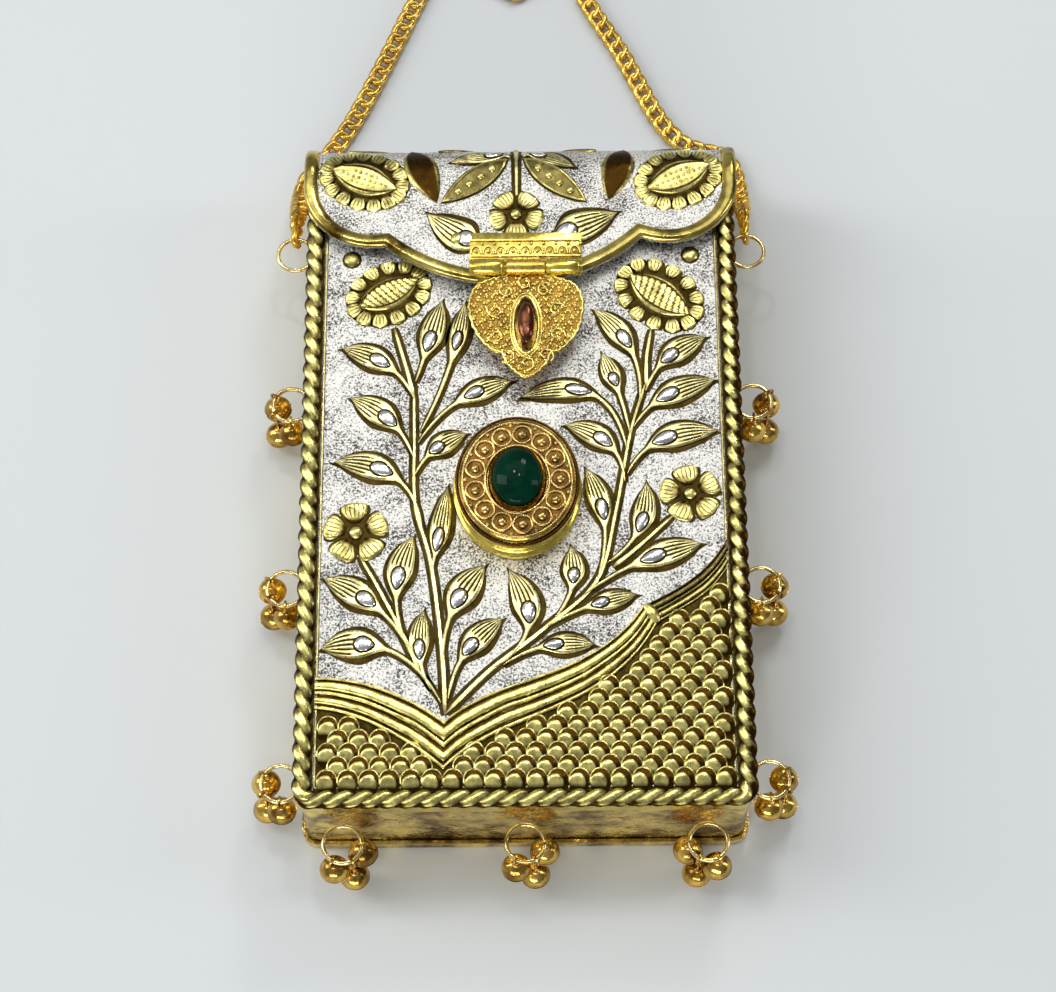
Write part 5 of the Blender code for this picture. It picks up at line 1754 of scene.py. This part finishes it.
@dataclass
class Hardware:
    """Hinges, hasp, knob, medallion and stone."""

    palette: Palette
    frame: dict
    centre: Point = (-1.3, 81.54)
    half_width: float = 16.0 * MM
    half_height: float = 18.3 * MM
    beads: int = 13
    hasp_x: float = 1.2 * MM
    axis_y: float = 51.5 * MM
    axis_z: float = 38.0 * MM
    knuckle: float = 2.15 * MM
    bore: float = 1.1 * MM
    hinge_half: float = 14.4 * MM
    knuckle_half: float = 4.9 * MM
    knuckle_gap: float = 0.3 * MM
    slot_drop: float = 16.1 * MM
    plate_z: float = 36.4 * MM
    plate: float = 0.8 * MM
    knob_y: float = 35.7 * MM
    profile: tuple[Point, ...] = (
        (1.0, 0.0), (1.0, 0.9), (0.99, 1.3), (0.955, 1.45), (0.93, 1.9), (0.925, 2.2), (0.945, 2.5),
        (0.925, 2.8), (0.925, 3.3), (0.94, 3.6), (0.925, 3.9), (0.925, 4.4), (0.95, 4.9), (0.968, 5.4),
        (0.965, 5.9), (0.94, 6.1), (0.915, 6.0), (0.895, 6.4), (0.87, 6.9), (0.845, 6.8),
        (0.83, 6.9), (0.0, 6.9),
    )
    heart: tuple[Point, ...] = (
        (4.9, 1.4), (9.0, 2.5), (12.8, 4.4), (14.7, 8.5), (14.4, 14.0), (12.2, 19.6), (8.8, 23.4),
        (6.4, 24.2), (4.9, 27.4), (2.2, 30.2), (0.0, 31.0),
    )

    def build(self) -> None:
        """Makes every part."""
        nodes = self.frame["nodes"]
        for name, body in (("back_hinge_leaf", "body"), ("flap_hinge_leaf", "flap")):
            copy = Shop.from_node(nodes[name], 0.15 * MM)
            Shop.done(copy, f"{name}_skin", self.palette.gold, body, Slot.GOLD, (name,))
        self.build_hasp_hinge()
        self.build_hasp()
        self.build_knob()
        self.build_hinge_band()
        self.build_medallion()

    def tube_section(self, first: float, last: float) -> Obj:
        """A knuckle: a bored cylinder along X on the hasp's axis, with rounded ends.

        Args:
            first: its left end.
            last: its right end.

        Returns:
            The object.
        """
        outer, inner, edge, length = self.knuckle, self.bore, 0.2 * MM, last - first
        profile = [(0.0, inner), (0.0, outer - edge), (edge, outer), (length - edge, outer),
                   (length, outer - edge), (length, inner)]

        def place(u: float, w: float) -> tuple[float, float, float]:
            """A point for its angle and its place on the profile."""
            x, radius = profile[round(w * len(profile)) % len(profile)]
            a = TURN * u
            return (first + x, self.axis_y + radius * math.cos(a), self.axis_z + radius * math.sin(a))

        knuckle = Shop.grid(28, len(profile), place)
        Shop.weld(knuckle)
        Shop.outward(knuckle)
        return knuckle

    def build_hasp_hinge(self) -> None:
        """The hinge's leaf on the flap with its two outer knuckles."""
        inner = self.knuckle_half + self.knuckle_gap
        spans = ((self.hasp_x - self.hinge_half, self.hasp_x - inner),
                 (self.hasp_x + inner, self.hasp_x + self.hinge_half))
        parts = [self.tube_section(a, b) for a, b in spans]
        for a, b in spans:
            for edge in (a + 0.9 * MM, b - 0.9 * MM):
                collar = Shop.ring((edge, self.axis_y, self.axis_z), self.knuckle, 0.16 * MM,
                                   Matrix.Rotation(QUARTER, 4, "Y"), 28, 6)
                parts.append(collar)
        low = 36.1 * MM
        y = self.axis_y + 1.2 * MM
        leaf = (spans[0][0], spans[1][1], self.axis_y + 2.25 * MM, self.axis_y + 11.0 * MM)
        for a, b, first, last in ((*spans[0], y, y + 2.2 * MM), (*spans[1], y, y + 2.2 * MM), leaf):
            plate = Shop.disc([Vector(p) for p in ((a, first), (b, first), (b, last), (a, last))], low)
            Shop.rise(plate, ((0.0, 0.0), (0.05 * MM, 0.65 * MM), (0.15 * MM, 0.1 * MM)))
            parts.append(plate)
        hinge = Shop.join("hasp_hinge", parts)
        Shop.done(hinge, "hasp_hinge_skin", self.palette.gold, "flap", Slot.GOLD, ("hasp_hinge_leaf",), 50.0)

    def hasp_edge(self, shrink: float = 0.0) -> list[Vector]:
        """The hasp's heart-shaped outline with its frill.

        Args:
            shrink: how far it is drawn in.

        Returns:
            Its points, anticlockwise.
        """
        points = [Vector((x, -y)) for x, y in self.heart]
        points += [Vector((-x, -y)) for x, y in reversed(self.heart[:-1])]
        smooth = through(points, 5)
        middle = Vector((0, -15.0))
        found = []
        for i, p in enumerate(smooth):
            frill = 0.22 * math.sin(i * TURN / 5 * 2)
            away = (p - middle).normalized()
            q = p + away * (frill - shrink / MM)
            found.append(Vector((self.hasp_x + q.x * MM, self.axis_y + q.y * MM)))
        return list(reversed(found))

    def build_hasp(self) -> None:
        """The heart-shaped hasp: frilled plate, knuckle, granules, scrolls and a rimmed slot."""
        slot_y = self.axis_y - self.slot_drop
        plate = Shop.disc(self.hasp_edge(0.3 * MM), self.plate_z)
        Shop.extrude(plate, self.plate)
        Shop.outward(plate)
        hole = Shop.disc([Vector((self.hasp_x + 2.8 * MM * math.cos(a), slot_y + 7.7 * MM * math.sin(a)))
                          for a in angles(40)], 35.0 * MM)
        Shop.extrude(hole, 4 * MM)
        Shop.outward(hole)
        Shop.cut(plate, hole)
        half = self.knuckle_half
        plate = Shop.join("hasp_plate", [plate, self.tube_section(self.hasp_x - half, self.hasp_x + half)])
        for material in (self.palette.warm, self.palette.ochre):
            plate.data.materials.append(material)
        for face in plate.data.polygons:
            face.material_index = 1 if face.normal.z > 0.9 and face.center.y < self.axis_y - 2 * MM else 0
        Shop.done(plate, "hasp_skin", self.palette.warm, "hasp", Slot.WARM, ("hasp",), 35.0)
        self.build_granules(slot_y)

    def build_granules(self, slot_y: float) -> None:
        """Granules and wire scrolls soldered over the hasp.

        Args:
            slot_y: Y of the slot's middle.
        """
        top = self.plate_z + self.plate
        model = Shop.ball((0, 0, 0), (1, 1, 1), segments=8, rings=5)
        parts = []
        edge = self.hasp_edge(0.75 * MM)

        def inside(x: float, y: float) -> bool:
            """Whether a place is on the plate and clear of the slot and the knuckle."""
            if ((x - self.hasp_x) / (4.1 * MM)) ** 2 + ((y - slot_y) / (9.0 * MM)) ** 2 < 1:
                return False
            if abs(x - self.hasp_x) < 5.5 * MM and y > self.axis_y - 2.4 * MM:
                return False
            crossings = 0
            for a, b in zip(edge, edge[1:] + edge[:1]):
                if (a.y > y) != (b.y > y) and x < a.x + (b.x - a.x) * (y - a.y) / (b.y - a.y):
                    crossings += 1
            return crossings % 2 == 1

        step = 1.02 * MM
        for row in range(36):
            for column in range(34):
                x = self.hasp_x + (column - 16.5 + 0.5 * (row % 2)) * step
                y = self.axis_y - 1.0 * MM - row * step * 0.87
                swing = row * 12.9898 + column * 78.233
                x += 0.20 * MM * math.sin(swing)
                y += 0.20 * MM * math.sin(swing * 1.7)
                size = (0.40 + 0.18 * math.sin(swing * 2.3)) * MM
                if inside(x, y):
                    seat = Matrix.Translation((x, y, top + 0.10 * MM))
                    parts.append(Shop.copy(model, seat @ Matrix.Diagonal((size, size, size, 1))))
        bpy.data.objects.remove(model, do_unlink=True)
        rim = [(*p, top) for p in self.hasp_edge(0.45 * MM)]
        parts.append(Shop.tube(rim, 0.42 * MM, sides=2))
        count = 10
        for i in range(count):
            angle = TURN * (i + 0.5) / count
            x = self.hasp_x + 8.1 * MM * math.cos(angle)
            y = slot_y + 0.6 * MM + 11.4 * MM * math.sin(angle)
            if not inside(x, y):
                continue
            scroll = []
            for j in range(15):
                turn = angle + 0.42 * j
                reach = (2.3 - 0.13 * j) * MM
                scroll.append((x + reach * math.cos(turn), y + reach * math.sin(turn), top + 0.45 * MM))
            parts.append(Shop.tube(scroll, 0.27 * MM, sides=2))
        for wide, long, size in ((3.25, 8.15, 0.5), (4.0, 9.0, 0.3)):
            oval = [(self.hasp_x + wide * MM * math.cos(a), slot_y + long * MM * math.sin(a), top + 0.2 * MM)
                    for a in angles(48)]
            parts.append(Shop.tube(oval, size * MM, cyclic=True, sides=3))
        piece = Shop.join("hasp_granules", parts)
        Shop.mark(piece, top - 0.30 * MM, top + 0.42 * MM)
        Shop.done(piece, "hasp_granules", self.palette.granular, "hasp", Slot.WARM, smooth=80.0)

    def build_knob(self) -> None:
        """The turn knob: a long oval head with a ridge down its middle, on its shaft."""
        y = self.knob_y
        base, top = 37.95 * MM, 39.6 * MM
        shares = (0.0, 0.86, 0.97, 1.0, 0.94, 0.80, 0.60, 0.36, 0.0)
        rises = (0.0, 0.0, 0.12, 0.35, 0.62, 0.82, 0.93, 1.0, 1.0)
        last = len(shares) - 1
        shaft = Shop.tube([(self.hasp_x, y, z) for z in (32.6 * MM, base + 0.3 * MM)], 1.6 * MM, sides=5)

        def place(u: float, w: float) -> tuple[float, float, float]:
            """A point of the head for its angle and its step from foot to ridge."""
            a = TURN * u
            share, rise = shares[round(w * last)], rises[round(w * last)]
            ridge = 0.22 * MM * math.cos(a * 2) * share * rise
            return (self.hasp_x + 2.1 * MM * share * math.cos(a), y + 5.8 * MM * share * math.sin(a),
                    base + (top - base) * rise - abs(ridge) * 0.5)

        head = Shop.grid(40, last, place)
        Shop.weld(head)
        Shop.outward(head)
        knob = Shop.join("knob", [head, shaft])
        Shop.done(knob, "knob_skin", self.palette.bronze, "knob", Slot.BRONZE, ("turn_knob",), 60.0)

    def build_hinge_band(self) -> None:
        """A filigree band of small arches on the hinge's flap leaf."""
        low = Vector((-13.2 * MM, 56.2 * MM))
        top = 36.95 * MM
        parts = []
        for i in range(9):
            x = low.x + (1.7 + i * 3.16) * MM
            arch = [(x + 1.35 * MM * math.cos(a), low.y + 2.2 * MM * math.sin(a), top)
                    for a in (math.pi * k / 8 for k in range(9))]
            parts.append(Shop.tube(arch, 0.33 * MM, sides=2))
            for across, up, size in ((0.0, 0.8, (0.6, 0.7, 0.5)), (1.58, 3.0, (0.5, 0.5, 0.4))):
                seat = (x + across * MM, low.y + up * MM, top)
                parts.append(Shop.ball(seat, [n * MM for n in size], segments=8, rings=5))
        for y in (-0.7, 3.9):
            line = [(low.x + 0.3 * MM, low.y + y * MM, top), (low.x + 28.4 * MM, low.y + y * MM, top)]
            parts.append(Shop.tube(line, 0.35 * MM, sides=2))
        piece = Shop.join("hinge_band", parts)
        Shop.mark(piece, top - 0.25 * MM, top + 0.4 * MM)
        Shop.done(piece, "hinge_band", self.palette.granular, "flap", Slot.GOLD)

    def oval(self, share: float, height_mm: float, count: int = 48) -> list[tuple[float, float, float]]:
        """A ring of points on the medallion.

        Args:
            share: its size over the base oval.
            height_mm: its height over the seat.
            count: its points.

        Returns:
            The points.
        """
        return [self.on_oval(share, height_mm, a) for a in angles(count)]

    def on_oval(self, share: float, height_mm: float, angle: float) -> tuple[float, float, float]:
        """A point of the medallion.

        Args:
            share: size of its oval, as a share of the base's.
            height_mm: height over the base in mm.
            angle: angle round the oval.

        Returns:
            The point.
        """
        centre = BAG.at(self.centre)
        return (centre.x + self.half_width * share * math.cos(angle),
                centre.y + self.half_height * share * math.sin(angle), BAG.ground + (0.3 + height_mm) * MM)

    def build_medallion(self) -> None:
        """Stepped oval, ring of thirteen cells with beads, and the stone in its bezel."""
        def ring_of(steps: Sequence[tuple[float, float]]) -> Obj:
            """A closed oval body from shares and heights, turned about its middle."""
            last = len(steps) - 1

            made = Shop.grid(72, last, lambda u, w: self.on_oval(*steps[round(w * last)], -TURN * u))
            Shop.weld(made)
            Shop.outward(made)
            return made

        base = ring_of(self.profile)
        Shop.done(base, "medallion_base", self.palette.gold, "body", Slot.WARM, ("medallion",), 50.0)
        floor = ring_of(((0.825, 6.85), (0.825, 7.0), (0.5, 7.2), (0.5, 6.85)))
        Shop.done(floor, "medallion_floor", self.palette.umber, "body", Slot.WARM)
        parts = []
        top = BAG.ground + 7.55 * MM
        for i in range(self.beads):
            x, y, _ = self.oval(0.663, 0, self.beads)[i]
            parts.append(Shop.ring((x, y, top), 2.35 * MM, 0.38 * MM, segments=22, sides=6))
            low = top - 0.1 * MM
            parts.append(Shop.ball((x, y, low), (1.2 * MM, 1.2 * MM, 1.1 * MM), segments=14))
            x, y, _ = self.oval(0.80, 0, self.beads * 2)[2 * i + 1]
            parts.append(Shop.ball((x, y, low), (0.55 * MM, 0.55 * MM, 0.5 * MM), segments=8, rings=5))
        wires = ((0.845, 0.42, 7.0), (0.893, 0.34, 6.5), (0.935, 0.40, 6.0), (0.495, 0.42, 7.3))
        for share, size, height in wires:
            parts.append(Shop.tube(self.oval(share, height, 72), size * MM, cyclic=True, sides=3))
        piece = Shop.join("medallion_cells", parts)
        Shop.mark(piece, top - 0.9 * MM, top + 0.35 * MM)
        Shop.done(piece, "medallion_cells", self.palette.aged, "body", Slot.WARM, smooth=80.0)
        centre = BAG.at(self.centre)
        bezel = Shop.grid(56, 8, lambda u, w: (
            centre.x + (7.0 - 0.75 * w) * MM * math.cos(-TURN * u),
            centre.y + (8.6 - 0.75 * w) * MM * math.sin(-TURN * u),
            top - 0.5 * MM + 2.9 * MM * w - 0.6 * MM * w * w))
        Shop.modify(bezel, "SOLIDIFY", thickness=0.35 * MM)
        Shop.outward(bezel)
        Shop.done(bezel, "bezel", self.palette.granular, "body", Slot.WARM, smooth=60.0)
        stone = Shop.ball((*centre, BAG.ground + 8.9 * MM), (6.2 * MM, 7.8 * MM, 3.5 * MM),
                          segments=48, rings=32)
        Shop.done(stone, "stone", self.palette.stone, "body", Slot.STONE, ("cabochon",), 80.0)


@dataclass
class Jingles:
    """Soldered rings with their round bells."""

    palette: Palette
    frame: dict
    ball_radius: float = 3.5 * MM
    wire: float = 0.54 * MM
    ring_radius: float = 4.65 * MM
    long_drop: float = 13.0 * MM
    short_drop: float = 7.0 * MM

    def build(self) -> None:
        """Makes each ring and each bell from one model."""
        model_short = self.bell_model(self.short_drop)
        model_long = self.bell_model(self.long_drop)
        for joint in self.frame["joints"]:
            if not joint["name"].endswith("_swing"):
                continue
            hook = Vector(joint["pos_m"])
            axis = Vector(joint["axis"])
            turn = math.atan2(axis.x, -axis.y)
            model = model_long if joint["child"].endswith("_2") else model_short
            bell = Shop.copy(model, Matrix.Translation(hook) @ Matrix.Rotation(turn, 4, "Z"))
            name = joint["child"]
            Shop.done(bell, f"{name}_skin", self.palette.bell, name, Slot.WARM, (name,), 35.0)
        for model in (model_short, model_long):
            bpy.data.objects.remove(model, do_unlink=True)
        for name in self.frame["nodes"]:
            if not name.startswith(("ring_", "chain_ring_")):
                continue
            low, high = (Vector(v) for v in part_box(name))
            ring = Shop.ring((low + high) / 2, self.ring_radius, self.wire, segments=40, sides=10)
            Shop.done(ring, f"{name}_skin", self.palette.wire, "body", Slot.WARM, (name,), 80.0)

    def bell_model(self, drop: float) -> Obj:
        """A bell hung at the origin: ball of two halves with a slot, neck, and a wire eye.

        Args:
            drop: from the hook to the ball's middle.

        Returns:
            The model.
        """
        radius = self.ball_radius
        centre = Vector((0, 0, -drop))
        ball = Shop.ball(centre, (radius, radius, radius * 0.97), segments=32, rings=20)
        slot = Shop.ball(centre - Vector((0, 0, radius)), (radius * 1.1, 0.42 * MM, radius * 0.75),
                         segments=16, rings=10)
        Shop.cut(ball, slot)
        seam = Shop.ring(centre, radius, 0.12 * MM, segments=32, sides=6)
        cap = Shop.ball(centre + Vector((0, 0, radius)), (1.1 * MM, 1.1 * MM, 0.55 * MM), segments=14)
        eye = Vector((0, 0, -0.35 * MM))
        neck = Shop.tube([(0, 0, -drop + radius), (0, 0, eye.z - 1.35 * MM)], 0.42 * MM, sides=3)
        loop = Shop.ring(eye, 1.42 * MM, 0.32 * MM, Matrix.Rotation(QUARTER, 4, "X"), 24, 6)
        collar = Shop.ring((0, 0, eye.z - 1.7 * MM), 0.5 * MM, 0.25 * MM, segments=14, sides=6)
        return Shop.join("bell_model", [ball, seam, cap, neck, loop, collar])


@dataclass
class Chain:
    """The curb chain, laid on the table as in the photo."""

    palette: Palette
    link_length: float = 7.0 * MM
    link_width: float = 5.4 * MM
    wire: float = 0.92 * MM
    pitch: float = 3.9 * MM
    roll: float = 16.0
    route: tuple = (
        (-59.45, 70.1, 17.5), (-59.5, 78.0, 16.2), (-59.6, 85.0, 9.6), (-59.4, 94.0, 3.2),
        (-57.4, 100.5, 1.75), (-52.4, 106.8, 1.75), (-45.4, 119.0, 1.75), (-36.5, 139.0, 1.75),
        (-29.0, 157.0, 1.75), (-22.5, 172.0, 1.75), (-15.5, 180.0, 1.75), (-9.0, 176.5, 1.75),
        (-6.5, 166.0, 1.75), (-1.7, 159.5, 1.75), (3.0, 166.0, 1.75), (4.6, 176.5, 1.75),
        (9.6, 181.0, 1.75), (14.6, 172.0, 1.75), (18.9, 157.0, 1.75), (28.4, 139.0, 1.75),
        (37.6, 119.0, 1.75), (43.8, 110.4, 1.75), (49.6, 107.2, 1.75), (55.4, 105.6, 1.75),
        (58.4, 100.5, 1.75), (59.4, 94.0, 3.2), (59.6, 85.0, 9.6), (59.5, 78.0, 16.2),
        (59.45, 70.1, 17.5),
    )

    def build(self) -> None:
        """Copies the twisted link along the route."""
        model = self.link_model()
        curve = through([Vector(p) * MM for p in self.route], 14)
        lengths = [0.0]
        for a, b in zip(curve, curve[1:]):
            lengths.append(lengths[-1] + (b - a).length)
        end = self.link_length / 2 - self.wire
        count = round((lengths[-1] - 2 * end) / self.pitch) + 1
        places = []
        for i in range(count):
            at = end + (lengths[-1] - 2 * end) * i / (count - 1)
            j = min(max(k for k, length in enumerate(lengths) if length <= at), len(curve) - 2)
            places.append(curve[j].lerp(curve[j + 1], (at - lengths[j]) / (lengths[j + 1] - lengths[j])))
        parts = []
        for i, place in enumerate(places):
            along = (places[min(i + 1, count - 1)] - places[max(i - 1, 0)]).normalized()
            side = Vector((0, 0, 1)).cross(along).normalized()
            up = along.cross(side)
            from_end = min(i, count - 1 - i)
            roll = math.radians(max(0.0, 70.0 - 14.0 * from_end) + self.roll)
            wide = side * math.cos(roll) + up * math.sin(roll)
            axes = Matrix((along, wide, along.cross(wide))).transposed().to_4x4()
            parts.append(Shop.copy(model, Matrix.Translation(place) @ axes))
        bpy.data.objects.remove(model, do_unlink=True)
        chain = Shop.join("chain", parts)
        Shop.done(chain, "chain", self.palette.warm, "body", Slot.WARM, ("chain_strap",), 80.0)
        LOG.info("chain: %d links, %.0f mm", count, lengths[-1] / MM)

    def link_model(self) -> Obj:
        """One oval link with a quarter of the curb's twist."""
        half_length, half_width = self.link_length / 2 - self.wire, self.link_width / 2 - self.wire
        points = []
        for a in angles(20):
            x = half_length * math.copysign(abs(math.cos(a)) ** 0.85, math.cos(a))
            y = half_width * math.copysign(abs(math.sin(a)) ** 0.85, math.sin(a))
            twist = math.radians(22.0) * x / half_length
            points.append((x, y * math.cos(twist), y * math.sin(twist)))
        return Shop.tube(points, self.wire, cyclic=True, sides=2)


@dataclass
class Body:
    """The plain sheet parts that keep their CAD meshes."""

    palette: Palette
    frame: dict

    def dress(self) -> None:
        """Gives each CAD node that stays in view its finish."""
        finishes = {"back_panel": self.palette.hammered, "side_band": self.palette.hammered,
                    "lining": self.palette.velvet, "knob_plate": self.palette.warm}
        for name, node in self.frame["nodes"].items():
            finish = finishes.get(name, self.palette.gold)
            for slot in node.material_slots:
                slot.material = finish


@dataclass
class Studio:
    """Table, lights and the camera at the photo's angle."""

    focal: float = 94.8
    distance: float = 0.6886
    tilt: float = 24.0
    target: tuple[float, float, float] = (0.0013, -0.010, 0.033)
    roll: float = -0.0085
    floor_colour: Colour = (0.655, 0.685, 0.69)
    aim: tuple[float, float, float] = (0, 0, 0)
    front: tuple[float, float, float] = (0, 0.08, 0)
    surround_left: float = 0.52
    surround_right: float = 0.15

    def build(self) -> None:
        """Sets up everything outside the object."""
        self.build_floor()
        self.build_lights()
        self.build_camera()

    def build_floor(self) -> None:
        """A wide pale table top."""
        bpy.ops.object.select_all(action="DESELECT")
        bpy.ops.mesh.primitive_plane_add(size=6.0, location=(0, 0, -0.0002))
        floor = bpy.context.object
        floor.name = "table_top"
        table = Plain("table", self.floor_colour, self.floor_colour, 0.6, depth=0.0)
        floor.data.materials.append(table.build())

    def area(self, name: str, place: Sequence[float], aim: Sequence[float], size: tuple[float, float],
             power: float) -> None:
        """One soft box.

        Args:
            name: its name.
            place: where it stands.
            aim: the point it faces.
            size: its width and height.
            power: its power in watts.
        """
        data = bpy.data.lights.new(name, "AREA")
        data.shape = "RECTANGLE"
        data.size, data.size_y = size
        data.energy = power
        lamp = bpy.data.objects.new(name, data)
        lamp.location = place
        lamp.rotation_euler = (Vector(aim) - Vector(place)).to_track_quat("-Z", "Y").to_euler()
        bpy.context.collection.objects.link(lamp)

    def build_lights(self) -> None:
        """Soft boxes round the bag and a surround that falls off to the right."""
        self.area("overhead", (-0.10, 0.62, 1.20), self.aim, (1.1, 0.75), 2.4)
        self.area("window_left", (-0.15, 0.47, 1.10), self.front, (0.07, 0.07), 0.9)
        self.area("window_right", (0.10, 0.36, 1.15), self.front, (0.05, 0.07), 0.6)
        self.area("left_box", (-1.05, 0.25, 0.85), self.aim, (0.45, 1.1), 7.3)
        self.area("right_strip", (1.15, 0.1, 0.60), self.aim, (0.22, 0.9), 2.6)
        self.area("back_spot", (0.35, 0.95, 0.95), self.aim, (0.25, 0.25), 2.6)
        self.area("front_low", (-0.2, -1.2, 0.50), self.aim, (1.1, 0.28), 8.2)
        world = bpy.data.worlds.new("surround")
        world.use_nodes = True
        tree = world.node_tree
        place = tree.nodes.new("ShaderNodeTexCoord").outputs["Generated"]
        parts = tree.nodes.new("ShaderNodeSeparateXYZ")
        tree.links.new(place, parts.inputs[0])
        fall = tree.nodes.new("ShaderNodeMapRange")
        ends = {"From Min": -0.9, "From Max": 0.9,
                "To Min": self.surround_left, "To Max": self.surround_right}
        for key, number in ends.items():
            fall.inputs[key].default_value = number
        tree.links.new(parts.outputs["X"], fall.inputs["Value"])
        back = tree.nodes["Background"]
        back.inputs["Color"].default_value = (0.95, 0.97, 1.0, 1.0)
        tree.links.new(fall.outputs["Result"], back.inputs["Strength"])
        bpy.context.scene.world = world

    def build_camera(self) -> None:
        """The camera from the measured tilt and distance."""
        data = bpy.data.cameras.new("photo_camera")
        data.lens = self.focal
        data.sensor_width = 36.0
        data.clip_end = 20.0
        camera = bpy.data.objects.new("photo_camera", data)
        angle = math.radians(self.tilt)
        back = Vector((0, -math.sin(angle), math.cos(angle)))
        camera.location = Vector(self.target) + back * self.distance
        turned = Matrix.Rotation(angle, 4, "X") @ Matrix.Rotation(self.roll, 4, "Z")
        camera.rotation_euler = turned.to_euler()
        bpy.context.collection.objects.link(camera)
        bpy.context.scene.camera = camera


def main() -> None:
    """Loads the frame and builds the looks, one sub-assembly after another."""
    logging.basicConfig(level=logging.INFO, format="%(name)s %(message)s")
    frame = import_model()
    palette = Palette()
    Body(palette, frame).dress()
    FrontPanel(palette).build()
    Flap(palette).build()
    Hardware(palette, frame).build()
    Jingles(palette, frame).build()
    Chain(palette).build()
    Studio().build()
    bpy.context.scene.view_settings.view_transform = "Standard"


if __name__ == "__main__":
    main()
